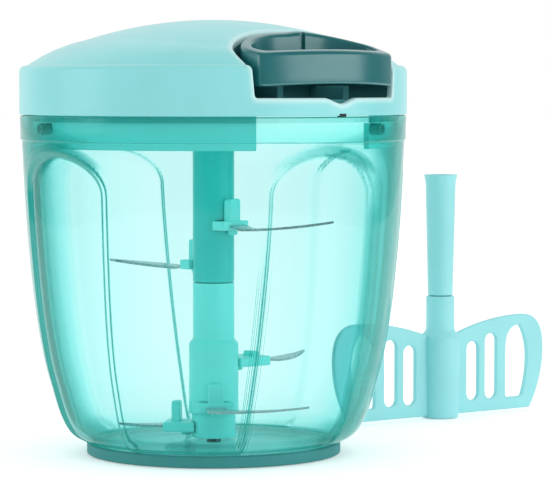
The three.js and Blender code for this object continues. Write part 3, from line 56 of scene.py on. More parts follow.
# Sizes, as in the CAD part
GAP = 0.3
RIM = 117.0
BAND_BOTTOM = 108.5
BOWL_RIM_RADIUS = 66.6
BOWL_SIDE_RADIUS = 66.1
BOWL_FOOT_RADIUS = 44.2
BOWL_WALL = 2.4
FOOT_BOTTOM, FOOT_TOP, FLOOR_TOP = 1.9, 4.3, 4.6
SIDE = [(0, 0), (.03, .24), (.09, .41), (.18, .545), (.29, .68), (.465, .813), (.725, .93), (1, 1)]
ARCH_SPRING, ARCH_RISE, ARCH_DEPTH = 91.0, 13.0, 1.1
# Each arched panel: its middle's turn and its half angle, both at the spring and at the foot
ARCHES = [((-2.2, 18.5), (-4.7, 22.0)), ((86.0, 20.0), (84.8, 20.0)), ((177.8, 18.5), (175.3, 22.0)),
          ((267.4, 20.2), (264.8, 20.2))]
FRONT_ARCH, RIGHT_ARCH, LEFT_ARCH = 0, 1, 3
ARCH_BEND = 1.3  # how late the panels' edges bend on their way down
LUG_TURNS, LUG_HEIGHT = [20.5, 140.5, 260.5], 112.6
LID_RADIUS = 66.8
LID_BOTTOM = 117.3
LID_WALL = 2.4
CROWN = 149.7
BEND = 138.0
SHOULDER = 64.0
SHOULDER_TOP, SHOULDER_BOTTOM = 134.0, 131.4
OUTER_SLOPE = 0.2
RECESS_HALF, RECESS_LOW_HALF, RECESS_END, RECESS_BACK = 30.0, 29.4, 53.8, 20.2
LIP, LIP_CORNER = 123.2, 1.1
MARK_SIDE = 1.8
DIP_HALF, DIP_DEPTH = 7.5, 1.9
PLATE_RADIUS = 64.1
RING_ASIDE, RING_BOTTOM = 1.2, 127.8
RING_OUTER = {"half": 28.4, "depth": 18.6, "front": 66.2, "side_end": 57.6, "corner": 2.2}
RING_INNER = {"half": 24.6, "depth": 14.8, "front": 62.4, "side_end": 54.1, "corner": 3.5}
RING_CROWN = 0.9
GROOVE_SIDE, GROOVE_HALF, GROOVE_DEPTH = 7.3, 0.8, 1.3
CORD_SIDE, CORD_Z = 13.8, 130.0


def linear(red, green, blue):
    """An sRGB colour of 0 to 255 as linear light."""
    out = []
    for value in (red, green, blue):
        v = value / 255
        out.append(v / 12.92 if v <= 0.04045 else ((v + 0.055) / 1.055) ** 2.4)
    return tuple(out)


def around(radius, turn, z=0.0):
    """A point at this distance from the Z axis, turn and height."""
    angle = math.radians(turn)
    return Vector((radius * math.sin(angle), -radius * math.cos(angle), z))


def turn_of(p):
    return math.degrees(math.atan2(p.x, -p.y))


def smooth(value):
    """0 to 1 with level ends, as value goes from 0 to 1."""
    v = min(max(value, 0.0), 1.0)
    return v * v * (3 - 2 * v)


# Materials

class Net:
    """The nodes of a material or world. Inputs go by name or number, and a value that is a socket is linked."""

    def __init__(self, owner):
        owner.use_nodes = True
        self.nodes, self.links = owner.node_tree.nodes, owner.node_tree.links

    def put(self, node, inputs):
        for key, value in inputs.items():
            if isinstance(value, bpy.types.NodeSocket):
                self.links.new(value, node.inputs[key])
            else:
                node.inputs[key].default_value = value
        return node

    def add(self, kind, inputs=None):
        return self.put(self.nodes.new("ShaderNode" + kind), inputs or {})

    def math(self, operation, *values):
        node = self.add("Math", dict(enumerate(values)))
        node.operation = operation
        return node.outputs["Value"]

    def attribute(self, name):
        """The value that the mesh holds under this name at each point."""
        node = self.add("Attribute")
        node.attribute_name = name
        return node.outputs["Fac"]

    def mix(self, factor, first, second):
        return self.add("MixShader", {"Fac": factor, 1: first, 2: second}).outputs["Shader"]

    def rays(self, *kinds):
        """1 for light rays of any of these kinds, 0 for all others."""
        light = self.add("LightPath").outputs
        seen = light[kinds[0]]
        for kind in kinds[1:]:
            seen = self.math("MAXIMUM", seen, light[kind])
        return seen


def new_material(name):
    material = bpy.data.materials.new(name)
    net = Net(material)
    return material, net, net.nodes["Principled BSDF"]


def noise(net, scale, detail=3.0, stretch=None):
    place = net.add("TexCoord").outputs["Object"]
    if stretch:
        place = net.add("Mapping", {"Vector": place, "Scale": stretch}).outputs["Vector"]
    return net.add("TexNoise", {"Vector": place, "Scale": scale, "Detail": detail}).outputs["Fac"]


def ramp(net, source, stops):
    node = net.add("ValToRGB", {"Fac": source})
    marks = node.color_ramp.elements
    while len(marks) < len(stops):
        marks.new(0.5)
    for mark, (place, colour) in zip(marks, stops):
        mark.position = place
        mark.color = (*colour, 1)
    return node.outputs["Color"]


def spread(net, source, low, high, start=0.3, end=0.7):
    """The source's values between start and end carried over to the range from low to high."""
    limits = {"From Min": start, "From Max": end, "To Min": low, "To Max": high}
    return net.add("MapRange", {"Value": source, **limits}).outputs["Result"]


def relief(net, shader, height, strength, depth):
    """Fine bumps on the shader's surface."""
    bump = net.add("Bump", {"Height": height, "Strength": strength, "Distance": depth})
    net.put(shader, {"Normal": bump.outputs["Normal"]})


def plastic(name, colour, roughness, shift=0.05, grain=(2400.0, 0.000006), painted_light=None, sockets=None):
    """Moulded plastic: its colour drifts a little over the piece, its gloss too, and its skin has a fine grain. Where
    the mesh has an "edge" attribute, it goes over to the painted_light colour: a painted highlight round the lid's
    notch, and painted light that lifts the shade on the foot's plate."""
    material, net, shader = new_material(name)
    low, high = (tuple(min(c * (1 + way), 1.0) for c in colour) for way in (-shift, shift))
    tone = ramp(net, noise(net, 38.0), [(0.3, low), (0.7, high)])
    if painted_light:
        blend = net.add("Mix", {0: net.attribute("edge"), 6: tone, 7: (*painted_light, 1)})
        blend.data_type = "RGBA"
        tone = blend.outputs[2]
    gloss = spread(net, noise(net, 160.0), roughness - 0.02, roughness + 0.02)
    net.put(shader, {"Base Color": tone, "Roughness": gloss, **(sockets or {})})
    relief(net, shader, noise(net, grain[0], 2.0), 0.15, grain[1])
    return material


def steel(name, colour, roughness, stretch, metallic=1.0):
    """Brushed steel: the brushing runs along the axis that stretch leaves short."""
    material, net, shader = new_material(name)
    brushed = noise(net, 1.0, 4.0, stretch)
    tone = ramp(net, brushed, [(0.3, tuple(c * 0.9 for c in colour)), (0.7, colour)])
    gloss = spread(net, brushed, roughness - 0.05, roughness + 0.07)
    net.put(shader, {"Metallic": metallic, "Base Color": tone, "Roughness": gloss})
    relief(net, shader, brushed, 0.2, 0.00001)
    return material


def painted_refraction_lines(net):
    """Painted refraction lines along the front panel's left edge: thin stripes of painted shade in the tint, and how
    much each deepens it there.
    """
    x, y, z = net.add("SeparateXYZ", {0: net.add("TexCoord").outputs["Object"]}).outputs
    turn = net.math("ARCTAN2", x, net.math("MULTIPLY", y, -1.0))
    high, low = (math.radians(middle - half) for middle, half in ARCHES[FRONT_ARCH])
    down = net.math("POWER", spread(net, z, 0.0, 1.0, ARCH_SPRING * MM, FOOT_TOP * MM), ARCH_BEND)
    beyond = net.math("SUBTRACT", net.math("MULTIPLY_ADD", down, low - high, high), turn)
    half_apart, first, thin, wide, right, left = (math.radians(a) for a in (0.65, -1.65, 0.12, 0.32, -2.3, 3.3))
    wave = net.math("PINGPONG", net.math("SUBTRACT", beyond, first), half_apart)
    line = spread(net, wave, 0.55, -0.12, thin, wide)
    fade = math.radians(0.4)
    for value, start, end in ((beyond, right, right + fade), (beyond, left, left - fade * 1.25),
                              (z, 0.09, 0.06), (z, 0.005, 0.009)):
        line = net.math("MULTIPLY", line, spread(net, value, 0.0, 1.0, start, end))
    return line


# How one face of the clear plastic tints what is behind it, from a straight look through a thin wall to a slant one
TINTS = [(0.0, (0.905, 0.972, 0.969)), (0.1, (0.858, 0.965, 0.961)), (0.35, (0.808, 0.957, 0.953)),
         (0.55, (0.71, 0.945, 0.935)), (0.8, (0.44, 0.85, 0.83)), (1.0, (0.1, 0.52, 0.51))]


def clear_plastic(name):
    """Tinted clear plastic. Each face lets light through with a tint that deepens where it is seen at a slant and
    where the mesh's wall attribute says: thicker plastic, and also painted shade along panel edges, over arch tops and
    on the rim's top, with painted refraction lines; the steepest slants look solid, as a moulded edge does."""
    material, net, body = new_material(name)
    slant = net.add("LayerWeight", {"Blend": 0.5}).outputs["Facing"]
    flow = noise(net, 1.0, 3.0, (70, 70, 14))
    wall = net.attribute("wall")
    deep = net.math("ADD", slant, net.math("MULTIPLY_ADD", flow, 0.07, -0.035))
    # The wall attribute and the lines add thicker plastic and painted shade to the tint
    deep = net.math("ADD", net.math("ADD", deep, wall), painted_refraction_lines(net))
    through = net.add("BsdfTransparent", {"Color": ramp(net, deep, TINTS)}).outputs["BSDF"]
    gloss = net.add("BsdfGlossy", {"Color": (0.72, 0.95, 0.93, 1), "Roughness": spread(net, flow, 0.02, 0.09)})
    grazing = net.math("MULTIPLY_ADD", net.math("POWER", slant, 5.0), 0.55, 0.014)
    clear = net.mix(grazing, through, gloss.outputs["BSDF"])
    tone = ramp(net, flow, [(0.3, (0.025, 0.38, 0.33)), (0.7, (0.04, 0.46, 0.41))])
    net.put(body, {"Base Color": tone, "Roughness": 0.08})
    whole = net.mix(spread(net, deep, 0.0, 0.8, 0.55, 1.05), clear, body.outputs["BSDF"])
    shade = net.add("BsdfTransparent", {"Color": (0.85, 0.97, 0.96, 1)}).outputs["BSDF"]
    net.put(net.nodes["Material Output"], {"Surface": net.mix(net.rays("Is Shadow Ray"), whole, shade)})
    return material


def braid(name, colour):
    """White braided cord."""
    material, net, shader = new_material(name)
    place = net.add("TexCoord").outputs["Object"]
    strands = net.add("TexWave", {"Vector": place, "Scale": 900.0, "Distortion": 1.0})
    strands.wave_type, strands.bands_direction = "BANDS", "DIAGONAL"
    wave = strands.outputs["Fac"]
    tone = ramp(net, wave, [(0.1, tuple(c * 0.72 for c in colour)), (0.6, colour)])
    net.put(shader, {"Base Color": tone, "Roughness": 0.85})
    relief(net, shader, wave, 0.6, 0.0002)
    return material


# The lid's mint goes over to a painted highlight along the notch's rounded edge
MINT = plastic("mint_plastic", linear(146, 227, 229), 0.3, 0.03, painted_light=linear(222, 250, 249))
# Painted light: a glowing near-white mint for the skirt's shaded inner faces
PAINTED_LIGHT_MINT = plastic("painted_light_mint_plastic", linear(225, 252, 249), 0.4, 0.02,
               sockets={"Emission Color": (0.66, 0.88, 0.87, 1), "Emission Strength": 0.5})
PADDLE_MINT = plastic("paddle_plastic", linear(158, 232, 236), 0.36, 0.03)
DARK = plastic("dark_teal_plastic", linear(28, 112, 116), 0.24,
               sockets={"Specular IOR Level": 1.0, "Specular Tint": (0.82, 1.0, 1.0, 1), "IOR": 1.6})
LINER = plastic("liner_plastic", linear(64, 134, 138), 0.6, 0.06, sockets={"Specular IOR Level": 0.15})
MARK = plastic("mark_plastic", linear(12, 44, 48), 0.5, 0.06)
# The foot's inner plate goes over to near-white painted light
BASE = plastic("base_rubber", linear(56, 148, 148), 0.62, 0.06, (1400.0, 0.00003), linear(240, 255, 253))
STEM = plastic("stem_plastic", linear(128, 243, 238), 0.32, 0.04)
UPPER_STEM = plastic("upper_stem_plastic", linear(44, 205, 199), 0.32, 0.04)
INNER = plastic("inner_white_plastic", linear(228, 236, 234), 0.4, 0.02)
BLADE = steel("blade_steel", linear(176, 192, 194), 0.24, (60, 900, 900), 0.6)
STEEL = steel("pin_steel", linear(190, 194, 198), 0.3, (900, 900, 60))
SPRING = steel("spring_steel", linear(150, 154, 160), 0.35, (400, 400, 900))
CORD = braid("cord_braid", linear(236, 240, 238))
CLEAR = clear_plastic("clear_teal_plastic")


# Meshes

class Shape:
    """Points in millimetres and faces, gathered part by part."""

    def __init__(self):
        self.points, self.faces = [], []

    def add(self, points, faces):
        base = len(self.points)
        self.points += points
        self.faces += [tuple(base + k for k in face) for face in faces]
        return self

    def rows(self, rows, closed=True):
        """A skin over rows that each hold the same number of points."""
        count = len(rows[0])
        faces = []
        for start in range(0, count * (len(rows) - 1), count):
            for k in range(count if closed else count - 1):
                a, b = start + k, start + (k + 1) % count
                faces.append((a, b, b + count, a + count))
        return self.add([p for row in rows for p in row], faces)

    def ends(self, count):
        """Faces over the first and the last points, which close a tube."""
        total = len(self.points)
        self.faces += [tuple(range(count)), tuple(range(total - count, total))]
        return self


def mesh_piece(name, shape, material, sharp=35.0):
    """An object of this shape, smooth but for edges over the sharp angle."""
    mesh = bpy.data.meshes.new(name)
    mesh.from_pydata([tuple(c * MM for c in p) for p in shape.points], [], shape.faces)
    mesh.validate()
    mesh.materials.append(material)
    work = bmesh.new()
    work.from_mesh(mesh)
    bmesh.ops.remove_doubles(work, verts=work.verts, dist=0.002 * MM)
    bmesh.ops.recalc_face_normals(work, faces=work.faces)
    work.to_mesh(mesh)
    work.free()
    mesh.polygons.foreach_set("use_smooth", [True] * len(mesh.polygons))
    mesh.set_sharp_from_angle(angle=math.radians(sharp))
    mesh.update()
    obj = bpy.data.objects.new(name, mesh)
    scene.collection.objects.link(obj)
    return obj


def finish_piece(obj, body, slot, *nodes):
    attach(obj, body)
    if nodes:
        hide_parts(*nodes)


def paint(obj, name, value_at):
    """A point attribute of the mesh, from each point's place in millimetres."""
    values = obj.data.attributes.new(name, "FLOAT", "POINT")
    values.data.foreach_set("value", [value_at(v.co / MM) for v in obj.data.vertices])


def bezier(first, corner, last, steps=14, start=1):
    """Points of the curve from first to last that sets off and arrives along the lines to the corner."""
    out = []
    for k in range(start, steps + 1):
        t = k / steps
        out.append(tuple((1 - t) ** 2 * a + 2 * t * (1 - t) * b + t * t * c
                         for a, b, c in zip(first, corner, last)))
    return out


def rounded(points, radii, steps=4):
    """A line of 2D points whose corners are rounded. radii holds one radius for each point, 0 to keep it."""
    out = []
    for k, (here, radius) in enumerate(zip(points, radii)):
        if radius <= 0 or k == 0 or k == len(points) - 1:
            out.append(here)
            continue
        corner = Vector(here)
        before, after = Vector(points[k - 1]) - corner, Vector(points[k + 1]) - corner
        reach = min(radius, before.length * 0.48, after.length * 0.48)
        out += bezier(corner + before.normalized() * reach, corner, corner + after.normalized() * reach, steps, 0)
    return out


def arc(middle, radius, start, end, steps):
    """Points round a 2D middle, between two angles counted in half turns from +X."""
    angles = [math.pi * (start + (end - start) * k / steps) for k in range(steps + 1)]
    return [(middle[0] + radius * math.cos(a), middle[1] + radius * math.sin(a)) for a in angles]


def revolved(profile, segments=96, place=(0, 0)):
    """Rows of points round an upright axis from a profile of (radius, height)."""
    axis = Vector((*place, 0))
    return [[around(radius, 360 * k / segments, z) + axis for k in range(segments)] for radius, z in profile]


def fine_line(points, longest):
    """The same line with its long stretches split."""
    out = [points[0]]
    for a, b in zip(points, points[1:]):
        count = max(1, math.ceil(math.dist(a, b) / longest))
        for k in range(1, count + 1):
            out.append(tuple(a[i] + (b[i] - a[i]) * k / count for i in range(2)))
    return out


def sideways(start, end):
    """The unit vector to the left of the way from start to end."""
    along = (Vector(end) - Vector(start)).normalized()
    return Vector((-along.y, along.x))


# Bowl

def spline(points, t):
    """A point of a uniform Catmull-Rom line, t from 0 to 1."""
    place = t * (len(points) - 1)
    at = min(int(place), len(points) - 2)
    w = place - at
    p0 = points[max(at - 1, 0)]
    p1, p2 = points[at], points[at + 1]
    p3 = points[min(at + 2, len(points) - 1)]
    out = []
    for a, b, c, d in zip(p0, p1, p2, p3):
        v0, v1 = (c - a) / 2, (d - b) / 2
        out.append((2 * b - 2 * c + v0 + v1) * w ** 3 + (-3 * b + 3 * c - 2 * v0 - v1) * w ** 2 + v0 * w + b)
    return tuple(out)


SIDE_POINTS = [(BOWL_FOOT_RADIUS + out * (BOWL_SIDE_RADIUS - BOWL_FOOT_RADIUS),
                FOOT_TOP + up * (BAND_BOTTOM - FOOT_TOP)) for up, out in SIDE]
SIDE_LINE = [spline(SIDE_POINTS, k / 160) for k in range(161)]


def side_radius(z):
    """The radius of the bowl's side at this height, without its panels."""
    for (r0, z0), (r1, z1) in zip(SIDE_LINE, SIDE_LINE[1:]):
        if z <= z1:
            return r0 + (r1 - r0) * (z - z0) / (z1 - z0)
    return SIDE_LINE[-1][0]


def arch_at(arch, z):
    """The middle's turn and the half angle of a panel at this height."""
    (turn, half), (low_turn, low_half) = arch
    down = min(max((ARCH_SPRING - z) / (ARCH_SPRING - FOOT_TOP), 0), 1) ** ARCH_BEND
    return turn + (low_turn - turn) * down, half + (low_half - half) * down


def arch_places(turn, z, radius):
    """For each panel near this place: its number, how far inside it the place is in millimetres, and the side."""
    for number, arch in enumerate(ARCHES):
        middle, half_angle = arch_at(arch, z)
        off = (turn - middle + 180) % 360 - 180
        if abs(off) > half_angle + 9:
            continue
        half = math.radians(half_angle) * radius
        across = math.radians(abs(off)) * radius
        if z <= ARCH_SPRING:
            inside = half - across
        else:
            x, y = across / half, (z - ARCH_SPRING) / ARCH_RISE
            reach = math.hypot(x, y)
            slope = math.hypot(x / half, y / ARCH_RISE) / max(reach, 1e-6)
            inside = (1 - reach) / max(slope, 1e-6)
        yield number, inside, off


def arch_depth(turn, z, radius):
    """How far the arched panels cut into the bowl's side at this place. Their tops slope more gently, and so does one
    edge of the right panel, which hardly shows."""
    top, deepest = smooth((z - ARCH_SPRING) / ARCH_RISE), 0.0
    for number, inside, off in arch_places(turn, z, radius):
        run = 1.5 + 1.3 * top + (4.5 * smooth(off / 8) if number == RIGHT_ARCH else 0)
        deepest = max(deepest, smooth(inside / run + 0.5))
    return ARCH_DEPTH * deepest


# Painted shade along each panel's two upright edges, for refraction at the step: first toward lower turns, then toward
# higher
PAINTED_EDGE_SHADE = [(0.3, 0.6), (0.1, 0.0), (0.45, 0.05), (0.95, 0.85)]


def painted_arch_shade(number, inside, off, z):
    """The panel's step is real; this is painted shade near it, deeper tint standing in for refraction: along its edge,
    beside it and over its top.
    """
    above = z - ARCH_SPRING
    width = 0.8 + (1.6 * smooth(-off / 12) if number == LEFT_ARCH else 0)
    line = math.exp(-((inside + 0.2) / width) ** 2) * PAINTED_EDGE_SHADE[number][0 if off < 0 else 1]
    if number == FRONT_ARCH and off > 0:
        band = smooth(-inside / 1.5) * smooth((inside + 8.5) / 3)
        line = max(line, 0.3 * smooth((8 - above) / 22) * band)
    # A painted shade streak over the right panel's top edge
    if number == RIGHT_ARCH and off > 0 and above > 2:
        painted_streak = smooth((above - 2) / 5) * smooth((off - 5) / 3)
        line = max(line, 0.6 * math.exp(-((inside + 0.3) / 0.7) ** 2) * painted_streak)
    return line


def tint_and_painted_shade(p):
    """How much deeper the tint is at this place of the bowl than on an arched panel's wall. The band, lugs and foot
    hold thicker plastic; painted shade lies along the rim's top, along the panels' edges and over the front and left
    arches' tops;
    the floor over the foot's plate is tinted less, as painted light.
    """
    radius, turn, z = math.hypot(p.x, p.y), turn_of(p), p.z
    if z > BAND_BOTTOM - 0.2:
        away = min((p - around(radius, t, LUG_HEIGHT)).length for t in LUG_TURNS)
        if away < 2.3:
            return 0.85 if away > 1.25 else 0.05
        # Painted shade: a dark line along the rim's top, where the lid sits on the bowl
        return 0.8 if z > RIM - 0.5 else (0.34 if z < BAND_BOTTOM + 0.5 else -0.02)
    # Painted light: the floor over the foot's plate is tinted less, to lift its shade
    if radius < 41 and z < FOOT_TOP + 1.5:
        return -0.45
    foot = 0.05 * smooth((8 - z) / 4)
    deepest = 0.1 + foot
    for number, inside, off in arch_places(turn, z, radius):
        line = painted_arch_shade(number, inside, off, z)
        # Painted shade over the front and left arches' tops
        painted_crown_shade = 0.0
        if z > ARCH_SPRING + 4 and number in (FRONT_ARCH, LEFT_ARCH):
            lift = smooth((z - ARCH_SPRING - 4) / 7)
            painted_crown_shade = 0.45 * lift * smooth((inside + 5.0) / 2.0) * smooth(0.4 - inside)
        deepest = max(deepest, line, painted_crown_shade)
        if inside > 0.5:
            deepest = max(line, 0.1 * smooth((1.2 - inside) / 0.7), foot)
    return deepest


def bowl_turns():
    """Turns of the bowl's columns, closer together where the panels' edges run."""
    turns = {float(k) for k in range(360)}
    for (turn, half), (low_turn, low_half) in ARCHES:
        for side in (-1, 1):
            a, b = sorted((turn + side * half, low_turn + side * low_half))
            if side < 0 and half < 19:
                a -= 5
            turns |= {round((a - 1.8 + 0.3 * k) % 360, 2) for k in range(int((b - a + 3.6) / 0.3) + 1)}
    ordered = sorted(turns)
    return [t for k, t in enumerate(ordered) if t - ordered[k - 1] > 0.12 or k == 0]


def outer_side():
    """The bowl's outer side from the foot to the band: radius and height, closest where the arches are."""
    line, z = [], FOOT_TOP + 0.6
    while z < BAND_BOTTOM - 0.6:
        line.append((side_radius(z), z))
        z += 0.7 if 88 < z < 107.5 else (0.8 if z < 14 else 1.8)
    return line


def inner_side():
    """The bowl's inner side from the band down to the floor."""
    line = []
    for (r0, z0), (r, z), (r1, z1) in zip(SIDE_LINE, SIDE_LINE[1:], SIDE_LINE[2:]):
        length = math.dist((r0, z0), (r1, z1))
        r, z = r - BOWL_WALL * (z1 - z0) / length, z + BOWL_WALL * (r1 - r0) / length
        step = 0.8 if 88 < z < 107.5 else 1.4
        if FLOOR_TOP + 2.2 < z < BAND_BOTTOM - 0.4 and (not line or z - line[-1][1] > step):
            line.append((r, z))
    return line[::-1]


def bowl_piece():
    """The clear bowl, from the foot up its outer side, over the rim and down inside, and the lugs in its rim."""
    turns, outer, inner = bowl_turns(), outer_side(), inner_side()
    step, inside, boss, boss_top, bore, bore_floor = 40.7, 64.2, 4.4, 12.0, 2.5, 3.2
    foot = rounded([(0, FOOT_BOTTOM), (step, FOOT_BOTTOM), (step, FOOT_TOP), (BOWL_FOOT_RADIUS, FOOT_TOP), outer[0]],
                   [0, 0.5, 0.6, 0.8, 0])
    rim = rounded([outer[-1], (BOWL_SIDE_RADIUS, BAND_BOTTOM), (BOWL_RIM_RADIUS, BAND_BOTTOM + 0.1),
                   (BOWL_RIM_RADIUS, RIM), (inside, RIM), (inside, BAND_BOTTOM)], [0, 0.4, 0.3, 0.5, 0.5, 0])
    low = rounded([inner[-1], (inner[-1][0] - 1.8, FLOOR_TOP), (boss, FLOOR_TOP), (boss, boss_top), (bore, boss_top),
                   (bore, bore_floor), (0, bore_floor)], [0, 2.5, 0.9, 0.4, 0.2, 0.3, 0], 5)

    def flat(line):
        return [[around(r, t, z) for t in turns] for r, z in line]

    rows = flat(foot[:-1])
    rows += [[around(r - arch_depth(t, z, r), t, z) for t in turns] for r, z in outer]
    rows += flat(rim[1:])
    for r, z in inner:
        share = smooth((z - FLOOR_TOP - 2) / 8)
        rows.append([around(r - share * arch_depth(t, z, r + BOWL_WALL), t, z) for t in turns])
    shape = Shape().rows(rows + flat(low[1:]))
    lug = [(1.45, 0.0), (1.45, -2.1), (2.0, -2.1)] + rounded([(2.0, 0.0), (2.0, 3.25), (1.5, 3.25)], [0, 0.5, 0])
    lug += rounded([(1.4, 3.2), (1.35, 2.9), (0.0, 2.9)], [0, 0.1, 0])
    for turn in LUG_TURNS:
        outward, up = around(1, turn), Vector((0, 0, 1))
        side, middle = outward.cross(up), around(64.15, turn, LUG_HEIGHT)
        circle = arc((0, 0), 1, 0, 2 - 2 / 32, 31)
        shape.rows([[middle - outward * reach + (side * x + up * y) * radius for x, y in circle]
                    for radius, reach in lug])
    obj = mesh_piece("clear_bowl", shape, CLEAR, 50.0)
    # The wall attribute holds thicker plastic, painted shade and painted light
    paint(obj, "wall", tint_and_painted_shade)
    finish_piece(obj, "bowl", "clear_teal", "bowl")


def base_piece():
    """The foot ring. The plate inside it is painted near-white: painted light that lifts its shade under the bowl's
    floor.
    """
    profile = rounded([(0, 0), (44.0, 0), (44.0, 4.0), (41.0, 4.0), (41.0, 1.6), (0, 1.6)],
                      [0, 0.7, 0.7, 0.4, 0.4, 0], 4)
    obj = mesh_piece("foot_ring", Shape().rows(revolved(profile, 160)), BASE)
    # Painted light on the plate's faces
    paint(obj, "edge", lambda p: 1.0 if math.hypot(p.x, p.y) < 41.5 and p.z > 1.0 else 0.0)
    finish_piece(obj, "bowl", "soft_base", "non_slip_base")


# Lid

def crease_radius(turn):
    """Distance from the axis to the crease between hump and outer dome: farther out toward the handle."""
    toward = max(math.cos(math.radians(turn)), 0.0)
    return SHOULDER - 19.6 + 11.0 * toward * toward


def hump(radius):
    """Height of the middle of the lid's top."""
    return CROWN - radius * radius / (2 * BEND)


def dome(radius, turn):
    """Height of the lid's top, with the crease between hump and outer dome eased."""
    crease = crease_radius(turn)
    soft = 1.6
    span = SHOULDER - crease
    start = hump(crease)
    bend = (start - OUTER_SLOPE * span - SHOULDER_TOP) / (span * span)

    def outer(r):
        out = r - crease
        return start - OUTER_SLOPE * out - bend * out * out

    if radius <= crease - soft:
        return hump(radius)
    if radius >= crease + soft:
        return outer(radius)
    t = (radius - crease + soft) / (2 * soft)
    z0, z1 = hump(crease - soft), outer(crease + soft)
    s0 = -(crease - soft) / BEND * 2 * soft
    s1 = (-OUTER_SLOPE - 2 * bend * soft) * 2 * soft
    return ((2 * t ** 3 - 3 * t ** 2 + 1) * z0 + (t ** 3 - 2 * t ** 2 + t) * s0
            + (-2 * t ** 3 + 3 * t ** 2) * z1 + (t ** 3 - t ** 2) * s1)


LIP_ROUND = 0.9
LIP_OFFSETS = [0.0, 0.05, 0.13, 0.25, 0.4, 0.6, 0.9, 1.4, 2.1]
SEAM_RADIUS = 63.0


def lip_sink(distance):
    """How far the lid's skin drops at this distance from the notch's edge."""
    if distance >= LIP_ROUND:
        return 0.0
    left = LIP_ROUND - max(distance, 0.0)
    return LIP_ROUND - math.sqrt(max(LIP_ROUND ** 2 - left ** 2, 0.0))


def recess_line(grow, front):
    """The notch in plan, from the right front round the back to the left front."""
    half, back = RECESS_HALF + grow, RECESS_BACK + grow
    sides = [(half, -front), (half, -(front + RECESS_END) / 2)]
    return (sides + [(half * x, -RECESS_END + back * y) for x, y in arc((0, 0), 1, 0, 1, 64)]
            + [(-x, y) for x, y in reversed(sides)])


def recess_distance(x, y):
    """Distance of a plan point from the notch's edge, negative inside it."""
    if y < -RECESS_END:
        return abs(x) - RECESS_HALF
    along = (y + RECESS_END) / RECESS_BACK
    across = x / RECESS_HALF
    reach = math.hypot(across, along)
    if reach < 1e-6:
        return -RECESS_BACK
    slope = math.hypot(across / RECESS_HALF, along / RECESS_BACK) / reach
    return (reach - 1) / slope


def seam_turns():
    """Turns of the seam's points, from the right lip round the back to the left lip."""
    lips = [math.degrees(math.asin((RECESS_HALF + d) / SEAM_RADIUS)) for d in LIP_OFFSETS]
    rest = 110
    last = lips[-1]
    turns = lips + [last + (360 - 2 * last) * k / rest for k in range(1, rest)]
    return turns + [360 - t for t in reversed(lips)]


class Plan:
    """Points and fixed edges of a flat sheet, and the triangles between them."""

    def __init__(self):
        self.flat, self.edges = [], []

    def chain(self, points):
        base = len(self.flat)
        self.flat += points
        self.edges += [(base + k, base + k + 1) for k in range(len(points) - 1)]

    def triangles(self, keep):
        verts, _, tris, _, _, _ = delaunay_2d_cdt([Vector(p) for p in self.flat], self.edges, [], 0, 1e-4)
        middles = [sum((verts[k] for k in tri), Vector((0, 0))) / len(tri) for tri in tris]
        return verts, [tuple(tri) for tri, middle in zip(tris, middles) if keep(middle.x, middle.y)]


def sheet_of_lid():
    """The top of the lid inside the seam, as points and triangles."""
    plan = Plan()
    plan.chain([tuple(around(SEAM_RADIUS, t).xy) for t in seam_turns()])
    for offset in LIP_OFFSETS:
        front = math.sqrt(SEAM_RADIUS ** 2 - (RECESS_HALF + offset) ** 2)
        plan.chain(recess_line(offset, front)[1:-1])
    rings = 27
    for ring in range(rings):
        radius = SEAM_RADIUS * (ring + 0.35) / rings
        count = max(6, round(math.tau * radius / 2.3))
        for k in range(count):
            p = around(radius, 360 * (k + 0.5 * (ring % 2)) / count)
            if recess_distance(p.x, p.y) > 2.9:
                plan.flat.append((p.x, p.y))
    verts, tris = plan.triangles(lambda x, y: recess_distance(x, y) > 0)
    sinks = [lip_sink(recess_distance(p.x, p.y)) for p in verts]
    return [Vector((*p, dome(p.length, turn_of(p)) - sink)) for p, sink in zip(verts, sinks)], tris


def wrap_profile():
    """The lid's outer profile from the seam over the shoulder down to its band: radius, height and lean."""
    shoulder = bezier((SHOULDER, SHOULDER_TOP), (LID_RADIUS, SHOULDER_TOP), (LID_RADIUS, SHOULDER_BOTTOM), 8, 0)
    line = [(SEAM_RADIUS, None, 0.0), ((SEAM_RADIUS + SHOULDER) / 2, None, 0.0)]
    return line + [(radius, height, math.pi / 2 * k / 8) for k, (radius, height) in enumerate(shoulder)]


def pressed(radius, turn, z, lean, depth):
    """A point of the lid's skin moved into it by depth. It keeps its place across."""
    if depth == 0:
        return around(radius, turn, z)
    x = radius * math.sin(math.radians(turn))
    deep = radius - depth * math.sin(lean)
    return Vector((x, -math.sqrt(max(deep * deep - x * x, 0.0)), z - depth * math.cos(lean)))


def dip(across):
    """How far the notch's lip dips at this place across."""
    return DIP_DEPTH * (1 - smooth(abs(across - MARK_SIDE) / DIP_HALF))


def unrolled(x):
    """How far round the lid's band a place lies that is this far across."""
    return math.asin(x / LID_RADIUS) * LID_RADIUS


def lip_path():
    """The notch's edge on the lid's band, unrolled: arc length and height, from the right shoulder to the left."""
    top, low = unrolled(RECESS_HALF), unrolled(RECESS_LOW_HALF)
    foot = LIP + LIP_CORNER
    side = [(top + (low - top) * k / 6, SHOULDER_BOTTOM + (foot - SHOULDER_BOTTOM) * k / 6) for k in range(6)]
    side += arc((low - LIP_CORNER, foot), LIP_CORNER, 0, -0.5, 6)
    count = 72
    across = [(low - LIP_CORNER) * (1 - 2 * k / count) for k in range(1, count)]
    return side + [(s, LIP - dip(s)) for s in across] + [(-s, z) for s, z in reversed(side)]


def inside_of(path, s, z):
    """True where an unrolled place is in the notch."""
    odd = False
    for (s0, z0), (s1, z1) in zip(path, path[1:] + path[:1]):
        if (z0 > z) != (z1 > z) and s < s0 + (z - z0) * (s1 - s0) / (z1 - z0):
            odd = not odd
    return odd


